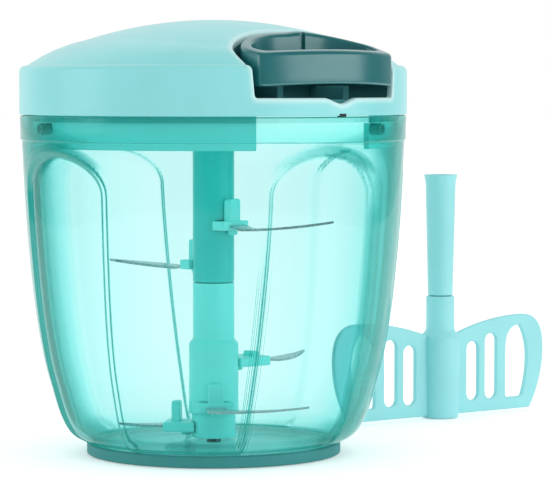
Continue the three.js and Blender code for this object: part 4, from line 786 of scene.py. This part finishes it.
def band_of_lid(path):
    """The band under the shoulder, unrolled and cut by the notch, as points and triangles."""
    plan = Plan()
    around_length = math.pi * LID_RADIUS
    normals = [sideways(a, b) for a, b in zip(path[:1] + path, path[1:] + path[-1:])]
    for offset in LIP_OFFSETS:
        line = [(s + n.x * offset, z + n.y * offset) for (s, z), n in zip(path, normals)]
        edge = unrolled(RECESS_HALF + offset)
        line[0], line[-1] = (edge, SHOULDER_BOTTOM), (-edge, SHOULDER_BOTTOM)
        plan.chain(line)
    tops = sorted((math.radians(wrapped_turn(turn, LID_RADIUS)) * LID_RADIUS, SHOULDER_BOTTOM)
                  for turn in seam_turns()[len(LIP_OFFSETS):-len(LIP_OFFSETS)])
    plan.chain([line[0]] + [p for p in tops if p[0] > 0] + [(around_length, SHOULDER_BOTTOM)])
    plan.chain([(-around_length, SHOULDER_BOTTOM)] + [p for p in tops if p[0] <= 0] + [line[-1]])
    bottom = LID_BOTTOM + 0.45
    for k in range(1, 6):
        z = SHOULDER_BOTTOM + (bottom - SHOULDER_BOTTOM) * k / 5
        row = [(around_length * (m / 90 - 1), z) for m in range(181)]
        if k == 5:
            plan.chain(row)
        else:
            plan.flat += [(s, z) for s, z in row if abs(s) > path[0][0] + 3.2 or z < LIP - 2.6 - dip(s)]
    verts, tris = plan.triangles(lambda s, z: not inside_of(path, s, z))

    def sink_at(p):
        if abs(p.x) >= path[0][0] + 1.4 or p.y <= LIP - 3.5:
            return 0.0
        nearest = 9.0
        for a, b in zip(path, path[1:]):
            a, along = Vector(a), Vector(b) - Vector(a)
            t = min(max((p - a).dot(along) / along.length_squared, 0.0), 1.0)
            nearest = min(nearest, (p - a - along * t).length)
        return lip_sink(nearest)

    return [pressed(LID_RADIUS, math.degrees(p.x / LID_RADIUS), p.y, math.pi / 2, sink_at(p)) for p in verts], tris


def wrapped_turn(turn, radius):
    """The seam's turn carried out to a larger radius, so that the notch's sides stay straight."""
    if turn > 180:
        turn -= 360
    lip, there = (math.degrees(math.asin((RECESS_HALF + LIP_OFFSETS[-1]) / r)) for r in (SEAM_RADIUS, radius))
    return math.copysign(there + (180 - there) * (abs(turn) - lip) / (180 - lip), turn)


def lid_piece():
    """The lid's cover: its top, shoulder and band, all cut by the notch, and the edges folded into it."""
    path = lip_path()
    shape = Shape().add(*sheet_of_lid())
    turns, count = seam_turns(), len(LIP_OFFSETS)
    rows = []
    for radius, height, lean in wrap_profile():
        row = []
        for k, turn in enumerate(turns):
            mirrored = k >= len(turns) - count
            place = len(turns) - 1 - k if mirrored else k
            if place < count:
                t = math.degrees(math.asin((RECESS_HALF + LIP_OFFSETS[place]) / radius)) * (-1 if mirrored else 1)
                sink = lip_sink(LIP_OFFSETS[place])
            else:
                t, sink = wrapped_turn(turn, radius), 0.0
            row.append(pressed(radius, t, dome(radius, t) if height is None else height, lean, sink))
        rows.append(row)
    shape.rows(rows, False).add(*band_of_lid(path))
    lid_returns(shape, path)
    obj = mesh_piece("lid_shell", shape, MINT, 42.0)
    # The edge attribute holds the painted highlight round the notch
    paint(obj, "edge", lambda p: painted_notch_highlight(p, path))
    finish_piece(obj, "lid", "mint_plastic", "lid_cover")


def painted_notch_highlight(p, path):
    """How much painted highlight the lid's skin has at this place: a near-white band along the notch's rounded edge.
    """
    if p.y > -30 or abs(p.x) > RECESS_HALF + 6:
        return 0.0
    if p.z > SHOULDER_BOTTOM:
        away = recess_distance(p.x, p.y)
    else:
        here = Vector((unrolled(max(-LID_RADIUS, min(LID_RADIUS, p.x))), p.z))
        away = min((here - Vector(q)).length for q in path)
    return 0.75 * smooth(1 - away / 2.6)


def lid_returns(shape, path):
    """The cut edge round the notch and the lid's lower edge."""
    back = [Vector(p) for p in recess_line(0.0, math.sqrt(SEAM_RADIUS ** 2 - RECESS_HALF ** 2))]
    runs = [[(p.length, turn_of(p), dome(p.length, turn_of(p)), 0.0) for p in back]]
    for side in (1, -1):
        runs.append([])
        for radius, height, lean in wrap_profile():
            turn = side * math.degrees(math.asin(RECESS_HALF / radius))
            runs[-1].append((radius, turn, dome(radius, turn) if height is None else height, lean))
    runs.append([(LID_RADIUS, math.degrees(s / LID_RADIUS), z, math.pi / 2) for s, z in path])
    for run in runs:
        shape.rows([[pressed(*spot, depth) for spot in run] for depth in (LIP_ROUND, LID_WALL)], False)
    inside = LID_RADIUS - LID_WALL
    shape.rows(revolved(rounded([(LID_RADIUS, LID_BOTTOM + 0.45), (LID_RADIUS, LID_BOTTOM), (inside, LID_BOTTOM),
                                 (inside, LID_BOTTOM + 2)], [0, 0.45, 0.3, 0]), 180))


def mark_piece():
    """The dark locking mark in the lid's lower edge."""
    rows = []
    for radius, pinch in ((LID_RADIUS - 1.2, 0.0), (LID_RADIUS + 0.03, 0.0), (LID_RADIUS + 0.1, 0.08)):
        half, low, high = 1.5 - pinch, LID_BOTTOM - 0.28 + pinch, LID_BOTTOM + 0.7 - pinch
        rows.append([around(radius, math.degrees((MARK_SIDE + x) / LID_RADIUS), z) for x, z in
                     ((-half, low), (0, low), (half, low), (half, high), (0, high), (-half, high))])
    obj = mesh_piece("lock_mark", Shape().rows(rows).ends(6), MARK)
    finish_piece(obj, "lid", "dark_teal")


# Handle

def ring_outline(half, depth, front, side_end, corner):
    """Plan points of one side of the handle's ring, from its right end round the back, left and front."""
    reach = math.asin((half - corner) / front)
    foot = (front * math.sin(reach), front * math.cos(reach))
    bend = foot[1] - (half - foot[0]) * math.tan(reach)
    near = math.acos((GROOVE_SIDE - RING_ASIDE) / RING_INNER["half"])
    angles = sorted({math.pi * k / 96 for k in range(97)} | {near + 0.007 * k for k in range(-11, 12)})
    side = [-RECESS_END - (side_end - RECESS_END) * k / 4 for k in range(1, 5)]
    turn = bezier((half, -side_end), (half, -bend), (foot[0], -foot[1]), 12)
    points = [(half * math.cos(a), -RECESS_END + depth * math.sin(a)) for a in angles]
    points += [(-half, y) for y in side] + [(-x, y) for x, y in turn]
    for k in range(1, 48):
        a = reach * (k / 24 - 1)
        points.append((front * math.sin(a), -front * math.cos(a)))
    return points + turn[::-1] + [(half, y) for y in reversed(side)]


def ring_top(radius):
    """Height of the ring's top before its sides are bent down: it follows the hump, then a straight slope."""
    bent = 29.5
    flush = min(radius, bent)
    return hump(flush) - bent / BEND * (radius - flush) - 0.2


def ring_fall(across):
    """How much lower the handle's ring is at this place across than at its middle."""
    return RING_CROWN * (across / RING_OUTER["half"]) ** 2


def handle_piece():
    """The pull handle: a D-shaped ring under the line of the lid's top, with a groove inside it for the cord."""
    edge, top_round = 0.8, 1.2
    height = CROWN - RING_BOTTOM
    low = RING_BOTTOM + edge
    quarter = [(1 - x, 1 - y) for x, y in arc((0, 0), 1, 0, 0.5, 6)]
    loops = []
    for o, i in zip(ring_outline(**RING_OUTER), ring_outline(**RING_INNER)):
        o, i = Vector(o), Vector(i)
        wall = (i - o).length
        way = (i - o) / wall
        share = min(max((-o.y - RECESS_END) / (RING_OUTER["front"] - RECESS_END), 0), 1)
        off = abs(i.x - (GROOVE_SIDE - RING_ASIDE))
        groove = GROOVE_DEPTH * smooth((GROOVE_HALF + 0.12 - off) / 0.24) if i.y > -RECESS_END else 0.0

        def spot(a, z):
            lean = (1 - (z - RING_BOTTOM) / height) * share / RING_OUTER["front"]
            a = min(a, wall - groove)
            p = Vector((o.x, o.y * (1 + lean * max(0, 1 - a / wall)))) + way * a
            # The right half of the back bar stands a little higher
            lift = 0.9 * smooth((p.y + 62) / 14) * smooth((p.x + 1) / 9) * smooth((z - 134) / 6)
            return Vector((p.x + RING_ASIDE, p.y, z - ring_fall(p.x) + lift))

        def top(a):
            return ring_top((o + way * a).length)

        ring = [spot(edge * v, RING_BOTTOM + edge * u) for u, v in quarter]
        high = top(0) - top_round
        ring += [spot(0, low + (high - low) * k / 6) for k in range(1, 6)]
        ring += [spot(top_round * u, top(top_round * u) - top_round * v) for u, v in quarter]
        ring += [spot(wall - top_round * v, top(wall - top_round * v) - top_round * u) for u, v in quarter]
        high = top(wall) - top_round
        ring += [spot(wall, high + (low - high) * k / 6) for k in range(1, 6)]
        loops.append(ring + [spot(wall - edge * u, RING_BOTTOM + edge * v) for u, v in quarter])
    obj = mesh_piece("handle_ring", Shape().rows(loops + loops[:1]), DARK, 60.0)
    finish_piece(obj, "handle", "dark_teal", "pull_handle")


def liner_piece():
    """The dark tray in the notch: its floor, the walls behind the handle and two ribs."""
    floor_height, underside, wall, under_lid = 122.6, 119.7, 1.6, 2.75
    rib_place, rib_half, rib_top = 14.2, 1.2, 127.1
    front = math.sqrt(PLATE_RADIUS ** 2 - RECESS_HALF ** 2)
    inner, outer = recess_line(0.0, front), recess_line(wall, front)
    rows = []
    for line, rise in ((inner, None), (inner, -0.5), (inner, -0.15), (inner, 0.0), (outer, 0.0), (outer, -6.0)):
        rows.append([])
        for here, beyond in zip(line, outer):
            p = Vector(here)
            top = min(dome(r, turn_of(p)) for r in (p.length, min(p.length, 63.9))) - under_lid
            if rise == 0.0 and line is inner:
                p = p.lerp(Vector(beyond), 0.22)
            rows[-1].append(Vector((*p, floor_height if rise is None else top + rise)))
    shape = Shape().rows(rows, False)
    floor = [Vector((x, y, floor_height)) for x, y in inner]
    edge = [around(PLATE_RADIUS, 27.9 * (1 - 2 * k / 24), floor_height) for k in range(25)]
    edge = [p for p in edge if abs(p.x) < RECESS_HALF - 0.2]
    shape.add(floor + edge[::-1], [range(len(floor) + len(edge))])
    line = [floor[0]] + edge + [floor[-1]]
    shape.rows([line, [Vector((p.x, p.y, underside)) for p in line]], False)
    section = rounded([(-rib_half, floor_height), (-rib_half, rib_top), (rib_half, rib_top), (rib_half, floor_height)],
                      [0, 0.5, 0.5, 0])
    for middle in (-rib_place, rib_place):
        back = -RECESS_END + RECESS_BACK * math.sqrt(1 - (middle / RECESS_HALF) ** 2)
        rib = [[Vector((middle + x, y, z)) for x, z in section] for y in (-RECESS_END, back)]
        shape.rows(rib, False).add(rib[0], [range(len(section))])
    obj = mesh_piece("notch_liner", shape, LINER, 40.0)
    finish_piece(obj, "lid", "dark_teal", "recess_liner")


# Lid base

def skirt_piece():
    """Plate and skirt under the lid. In the skirt's gap a low strip stays, and the inner faces seen there take painted
    light:
    a glowing near-white mint that lifts their shade.
    """
    outer, inner, bottom, top, strip_bottom = 62.2, 60.2, 106.0, LID_BOTTOM, 114.7
    hole, plate_top = 8.5, 119.3
    start, end = 18.6, 335.0
    section = rounded([(outer, top), (outer, bottom), (inner, bottom), (inner, top)], [0, 0.5, 0.5, 0])
    strip = [(outer, top), (outer, strip_bottom), (inner, strip_bottom), (inner, top)]

    def bent(profile, first, last, steps):
        turns = [first + (last - first) * k / steps for k in range(steps + 1)]
        return [[around(r, turn, z) for r, z in profile] for turn in turns]

    shape = Shape().rows(bent(section, start, end, 160), False).ends(len(section))
    shape.rows(bent(strip, end - 360, start, 32), False)
    plate = rounded([(hole, top), (PLATE_RADIUS, top), (PLATE_RADIUS, plate_top), (hole, plate_top)],
                    [0, 0.3, 0.3, 0])
    shape.rows(revolved(plate, 160))
    obj = mesh_piece("lid_plate", shape, STEM, 40.0)
    obj.data.materials.append(PAINTED_LIGHT_MINT)
    # The skirt's inner faces and the strip's faces in the gap take the glowing painted light
    for face in obj.data.polygons:
        middle = face.center / MM
        radius = math.hypot(middle.x, middle.y)
        faces_in = face.normal.dot(around(1, turn_of(middle))) < -0.7
        if radius < outer - 1.5 and faces_in and middle.z < top:
            face.material_index = 1
        if middle.z > strip_bottom and abs(radius - outer) < 0.3:
            face.material_index = 1 if end - 360 < turn_of(middle) < start else 0
    finish_piece(obj, "lid", "stem_plastic", "lid_base")


# Stem

STEM_RADIUS, STEM_WIDE, STEM_LOW = 7.2, 8.6, 7.6
CLIP_HALF, SEAT_DEPTH = 1.6, 1.9
# Each blade: height, turn, reach, stem radius, sweep, rise, its clip's reach, its peg's height and its droop
BLADES = [
    (79.0, 8, 50.0, STEM_RADIUS, 0.14, 0.07, 11.02, 7.68, 1.2),
    (65.0, 182, 50.0, STEM_RADIUS, 0.14, 0.03, 11.02, 7.04, 1.7),
    (31.0, 90, 47.0, STEM_WIDE, 0.14, 0.03, 20.64, 1.6, 0.4),
    (16.4, -34, 38.0, STEM_WIDE, 0.82, 0.04, 12.47, 6.72, 0.4),
    (9.0, 223, 33.1, STEM_LOW, 0.14, 0.03, 17.02, 7.04, 0.2),
]


def stem_piece(name, profile, node, material):
    """A part of the stem: a round profile with a flat where each clip sits."""
    low, high = min(z for _, z in profile), max(z for _, z in profile)
    seats = [(z, turn, stem) for z, turn, _, stem, *_ in BLADES if low < z < high]
    half = CLIP_HALF + GAP
    line = []
    for (r0, z0), (r1, z1) in zip(profile, profile[1:]):
        line.append((r0, z0))
        cuts = [z + step for z, _, stem in seats if min(r0, r1) > stem - 1.0
                for step in (-half - 0.04, -half, 0, half, half + 0.04) if z0 < z + step < z1]
        line += [(r0 + (r1 - r0) * (c - z0) / (z1 - z0), c) for c in sorted(cuts)]
    rows = revolved(line + [profile[-1]])
    for row, (radius, z) in zip(rows, line + [profile[-1]]):
        for height, facing, stem in seats:
            if abs(z - height) > half + 0.001 or radius <= stem - 1.0:
                continue
            for k, p in enumerate(row):
                toward = math.cos(math.radians(turn_of(p) - facing))
                if toward > 0.1 and (stem - SEAT_DEPTH) / toward < math.hypot(p.x, p.y):
                    row[k] = around((stem - SEAT_DEPTH) / toward, turn_of(p), z)
    obj = mesh_piece(name, Shape().rows(rows), material, 30.0)
    finish_piece(obj, "blades", "stem_plastic", node)


def stem_pieces():
    upper = rounded([(0, 62.8), (5.5, 62.8), (5.5, 59.3), (7.2, 59.3), (7.2, 114.5), (4.4, 114.5), (4.4, 110),
                     (0, 110)], [0, 0, 0.2, 0.35, 0.5, 0.3, 0, 0])
    stem_piece("stem_upper", fine_line(upper, 12), "upper_stem", UPPER_STEM)
    lower = rounded([(4.8, 12.3), (4.8, 5.2), (7.6, 5.2), (7.6, 13.6), (8.6, 13.6), (8.6, 38.0), (7.2, 39.4),
                     (7.2, 59.0), (4.9, 59.0), (4.9, 62.5), (0, 62.5)],
                    [0, 0.3, 0.6, 0.3, 0.4, 0.8, 0.8, 0.35, 0.2, 0.5, 0])
    stem_piece("stem_lower", fine_line(lower, 12), "lower_stem", STEM)


def plate_mesh(loops, thickness, bevel):
    """Points and faces of a flat plate with rounded edges, from closed loops in its own plane."""
    curve = bpy.data.curves.new("plate_tmp", "CURVE")
    curve.dimensions = "2D"
    curve.fill_mode = "BOTH"
    curve.extrude = (thickness / 2 - bevel) * MM
    curve.bevel_depth = bevel * MM
    curve.bevel_resolution = 3
    curve.offset = -bevel * MM
    for loop in loops:
        line = curve.splines.new("POLY")
        line.points.add(len(loop) - 1)
        for point, (x, y) in zip(line.points, loop):
            point.co = (x * MM, y * MM, 0, 1)
        line.use_cyclic_u = True
    holder = bpy.data.objects.new("plate_tmp", curve)
    scene.collection.objects.link(holder)
    bpy.context.view_layer.update()
    mesh = bpy.data.meshes.new_from_object(holder.evaluated_get(bpy.context.evaluated_depsgraph_get()))
    points = [v.co / MM for v in mesh.vertices]
    faces = [tuple(p.vertices) for p in mesh.polygons]
    bpy.data.objects.remove(holder)
    bpy.data.curves.remove(curve)
    bpy.data.meshes.remove(mesh)
    return points, faces


def blade_outline(reach, sweep, clip_reach):
    """The blade's outline in its own plane, along +X, and how far each point is ground back at its upper face."""
    root, waist, tang, steps = clip_reach - 4.0, clip_reach + 1.6, 3.3, 24
    tip = (reach * math.sqrt(1 - sweep * sweep), reach * sweep)
    back = (reach * (0.6 + 0.29 * sweep), reach * -0.17)
    edge = (reach * (0.65 - 0.15 * sweep), reach * (0.085 + 0.155 * sweep))
    line = [(root, -tang), (root + 2, -tang), (waist, -tang)] + bezier((waist, -tang), back, tip, steps)
    ground = [0.0] * len(line)
    for k in range(1, steps + 1):
        ground.append(1.1 * smooth((1 - k / steps) / 0.12) * smooth(k / steps / 0.2))
    line += bezier(tip, edge, (waist, tang), steps)
    return line + [(root + 2, tang), (root, tang)], ground + [0.0, 0.0], waist


def turned_to(points, turn, z):
    """Points made along +X, turned to this turn and lifted by z."""
    angle = math.radians(turn - 90)
    c, s = math.cos(angle), math.sin(angle)
    return [Vector((p.x * c - p.y * s, p.x * s + p.y * c, p.z + z)) for p in points]


def blade_pieces():
    """The five blades, each with its clip."""
    for number, (z, turn, reach, stem, sweep, rise, clip_reach, peg, droop) in enumerate(BLADES, 1):
        outline, ground, waist = blade_outline(reach, sweep, clip_reach)
        inward = [sideways(a, b) for a, b in zip(outline[-1:] + outline, outline[1:] + outline[:1])]
        rows = []
        for level, share in ((-0.4, 0.0), (-0.3, 0.0), (0.4, 1.0)):
            rows.append([])
            for (x, y), way, depth in zip(outline, inward, ground):
                p = Vector((x, y)) + way * depth * share
                away = max(0.0, (math.hypot(x, y) - waist) / (reach - waist))
                fall = droop * smooth((x - clip_reach) / 6)
                rows[-1].append(Vector((*p, level + rise * reach * away * away - fall)))
        tris = triangles_of(outline)
        shape = Shape().rows([turned_to(row, turn, z) for row in rows])
        shape.faces += tris + [tuple(2 * len(outline) + k for k in tri) for tri in tris]
        obj = mesh_piece(f"blade_steel_{number}", shape, BLADE, 16.0)
        finish_piece(obj, "blades", "blade_steel", f"blade_{number}")
        clip_piece(number, z, turn, stem, clip_reach, peg)


def triangles_of(outline):
    """Triangles that fill a closed outline, by the numbers of its points."""
    count = len(outline)
    edges = [(k, (k + 1) % count) for k in range(count)]
    _, _, tris, origins, _, _ = delaunay_2d_cdt([Vector(p) for p in outline], edges, [], 1, 1e-7)
    return [tuple(origins[k][0] if origins[k] else 0 for k in tri) for tri in tris]


def clip_piece(number, z, turn, stem, clip_reach, peg_height):
    """A clip: a block that sits in the stem's flat and holds the blade's root, an upright peg and a rivet."""
    seat, half_wide = stem - SEAT_DEPTH + GAP, 6.5
    block = rounded([(clip_reach, 0), (clip_reach, half_wide), (seat, half_wide), (seat, -half_wide),
                     (clip_reach, -half_wide), (clip_reach, 0)], [0, 1.2, 0.3, 0.3, 1.2, 0])
    shape = Shape().add(*plate_mesh([block[:-1]], 2 * CLIP_HALF, 0.35))
    middle = max(stem + GAP, clip_reach - 5.5) + 1.5
    corner = 1.3 if peg_height > 3 else 0.7
    peg = rounded([(-2.7, -0.2), (-2.7, peg_height), (2.7, peg_height), (2.7, -0.2)], [0, corner, corner, 0])
    slab, sheets = plate_mesh([peg], 3.0, 0.5)
    shape.add([Vector((middle + p.z, p.x, p.y + CLIP_HALF)) for p in slab], sheets)
    low, high = -CLIP_HALF - 1.6, -CLIP_HALF + 0.2
    head = rounded([(0, low), (1.7, low), (1.7, high), (0, high)], [0, 0.6, 0, 0])
    shape.rows(revolved(head, 28, (stem + 2.0, 0)))
    shape.points = turned_to(shape.points, turn, z)
    obj = mesh_piece(f"clip_{number}", shape, STEM, 40.0)
    finish_piece(obj, "blades", "stem_plastic", f"blade_clip_{number}")


# Paddle

PADDLE_X, PADDLE_Y, WING_TURN = 129.32, 24.90, -2.5


def wing_loops():
    """Outline of one wing and its three holes."""
    root, foot, peak, widest = 3.5, 44.98, 40.98, 24.01
    reach, peak_z, bottom = 52.0, 37.7, 5.5
    line = [(root, 0.8), (foot, 0.8)]
    line += bezier((foot, 0.8), (reach, widest / 2), (reach, widest), 18)
    line += bezier((reach, widest), (reach, peak_z), (peak, peak_z), 18)
    line += bezier((peak, peak_z), ((peak + root) / 2, peak_z), (root, 30.4), 22)
    loops, half = [line], 2.95
    for middle, top in ((15.704, 28.39), (25.012, 30.99)):
        loops.append(arc((middle, bottom + half), half, 1, 2, 16) + arc((middle, top - half), half, 0, 1, 16))
    near, far, top = 32.6, 47.0, 33.59
    line = bezier((41.0, bottom), (far, widest), ((near + far) / 2, top), 18)
    hole = rounded([(near, 12.0), (near, bottom), (41.0, bottom), line[2]], [0, 1.4, 1.4, 0]) + line[3:]
    return loops + [hole + bezier(((near + far) / 2, top), (near, top), (near, widest), 14)]


def paddle_pieces():
    """The mixing paddle that stands beside the bowl: hub and wings in one piece, and the tube on top."""
    hub = rounded([(4.8, 6.9), (4.8, 0), (7.0, 0), (7.85, 31.0), (5.4, 33.45), (5.4, 46.6), (3.0, 46.6), (3.0, 53.6),
                   (0, 53.6)], [0, 0.2, 0.7, 1.6, 1.2, 0.4, 0, 0.5, 0], 5)
    shape = Shape().rows(revolved(fine_line(hub, 8), 72))
    slab, sheets = plate_mesh(wing_loops(), 2.0, 0.55)
    for side in (1, -1):
        shape.add([Vector((side * p.x, -side * p.z, p.y)) for p in slab], sheets)
    shape.points = [p + Vector((PADDLE_X, PADDLE_Y, 0)) for p in turned_to(shape.points, 90 + WING_TURN, 0)]
    finish_piece(mesh_piece("paddle_body", shape, PADDLE_MINT, 40.0), "paddle", "mint_plastic", "mixing_paddle")
    tube = rounded([(3.4, 46.9), (4.76, 46.9), (5.0, 58.0)], [0, 0.4, 0])
    tube += rounded([(4.75, 46.9), (5.73, 90.0), (6.45, 93.0), (4.4, 93.0), (4.4, 79.0), (0, 79.0)],
                    [0, 2.0, 0.5, 0.4, 0, 0], 5)[1:]
    shape = Shape().rows(revolved(fine_line(tube, 8), 72, (PADDLE_X, PADDLE_Y)))
    finish_piece(mesh_piece("paddle_tube", shape, PADDLE_MINT, 40.0), "paddle", "mint_plastic", "paddle_stem")


# Cord

def cord_piece():
    """The pull cord between the spool and the handle."""
    start, end, half_thick, count, sides = -0.2, -43.4, 0.95, 48, 16
    circle = arc((CORD_SIDE, CORD_Z), half_thick, 0, 2 - 2 / sides, sides - 1)
    rows = [[Vector((x, start + (end - start) * k / count, z)) for x, z in circle] for k in range(count + 1)]
    obj = mesh_piece("cord_lead", Shape().rows(rows).ends(sides), CORD)
    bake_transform(obj)
    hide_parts("pull_cord")


bowl_piece()
base_piece()
lid_piece()
mark_piece()
handle_piece()
liner_piece()
skirt_piece()
stem_pieces()
blade_pieces()
paddle_pieces()
cord_piece()

# The CAD solids that stay, with their materials
for node, material in {
    "pivot_pin": STEEL, "lid_seal": CLEAR, "cord_guide_bush": STEEL, "spool_axle": STEEL, "spring_cup": MINT,
    "lid_screw_1": STEEL, "lid_screw_2": STEEL, "lid_screw_3": STEEL, "lid_screw_4": STEEL, "spool": INNER,
    "wound_cord": CORD, "recoil_spring": SPRING, "drive_hub": INNER, "cord_anchor": DARK,
}.items():
    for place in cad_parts[node].material_slots:
        place.material = material


# Floor, light and camera

AMBIENT = 0.84
VIEW_RIGHT, VIEW_FORWARD = Vector((0.775, -0.632, 0)), Vector((0.632, 0.775, 0))


def stage_piece():
    """The white floor: round in front, and a long way back behind. It keeps the object's shadow, and is a little
    whiter for the camera than its light alone."""
    mesh = bpy.data.meshes.new("floor")
    front, back, back_half = 0.6, 7.5, 1.5
    edge = [VIEW_RIGHT * x + VIEW_FORWARD * y for x, y in
            arc((0, 0), front, -1, 0, 48) + [(back_half, back), (-back_half, back)]]
    mesh.from_pydata([(p.x, p.y, -0.0002) for p in edge], [], [tuple(range(len(edge)))])
    floor = bpy.data.objects.new("floor", mesh)
    scene.collection.objects.link(floor)
    material, net, shader = new_material("floor_white")
    net.put(shader, {"Base Color": (1, 1, 1, 1), "Roughness": 1.0, "Specular IOR Level": 0.0})
    seen = net.rays("Is Camera Ray", "Is Glossy Ray", "Is Transmission Ray")
    glow = net.add("Emission", {"Strength": net.math("MULTIPLY", seen, 0.3)})
    both = net.add("AddShader", {0: shader.outputs["BSDF"], 1: glow.outputs["Emission"]})
    net.put(net.nodes["Material Output"], {"Surface": both.outputs["Shader"]})
    mesh.materials.append(material)


def world_light():
    """A white studio: white to the camera and through glass, an even light on the object, and in reflections
    darker in front than behind."""
    scene.world = bpy.data.worlds.new("studio")
    net = Net(scene.world)
    place = net.add("TexCoord").outputs["Generated"]
    toward = net.add("VectorMath", {0: place, 1: (-0.527, -0.844, -0.1)})
    toward.operation = "DOT_PRODUCT"
    mirror = spread(net, toward.outputs["Value"], 1.0, 0.08, -0.85, -0.3)
    light = net.add("Mix", {0: net.rays("Is Glossy Ray"), 2: AMBIENT, 3: mirror}).outputs[0]
    seen = net.rays("Is Camera Ray", "Is Transmission Ray")
    strength = net.add("Mix", {0: seen, 2: light, 3: 1.0}).outputs[0]
    net.put(net.nodes["Background"], {"Color": (1, 1, 1, 1), "Strength": strength})


def aimed(name, data, place, target):
    """An object of this lamp or camera at its place, looking at the target."""
    obj = bpy.data.objects.new(name, data)
    scene.collection.objects.link(obj)
    obj.location = place
    obj.rotation_euler = (Vector(target) - Vector(place)).to_track_quat("-Z", "Y").to_euler()
    return obj


def area_light(name, place, target, size, power):
    data = bpy.data.lights.new(name, "AREA")
    data.shape = "RECTANGLE"
    data.size, data.size_y = size
    data.energy = power
    aimed(name, data, place, target)


def camera():
    data = bpy.data.cameras.new("camera")
    data.lens = 186.6
    data.sensor_width = 36.0
    data.clip_end = 50.0
    distance, eye_height, aim_height, aside = 0.986, 0.12975, 0.0728, VIEW_RIGHT * 0.0213
    eye = aside - VIEW_FORWARD * distance + Vector((0, 0, eye_height))
    scene.camera = aimed("camera", data, eye, aside + Vector((0, 0, aim_height)))


stage_piece()
world_light()
area_light("softbox_front", (0.558, -1.062, 0.3), (0.0, 0.0, 0.12), (1.33, 0.45), 3.3)
area_light("softbox_left", (-1.135, 0.634, 0.4), (0.0, 0.0, 0.1), (0.7, 0.7), 2.3)
camera()
scene.view_settings.view_transform = "Standard"
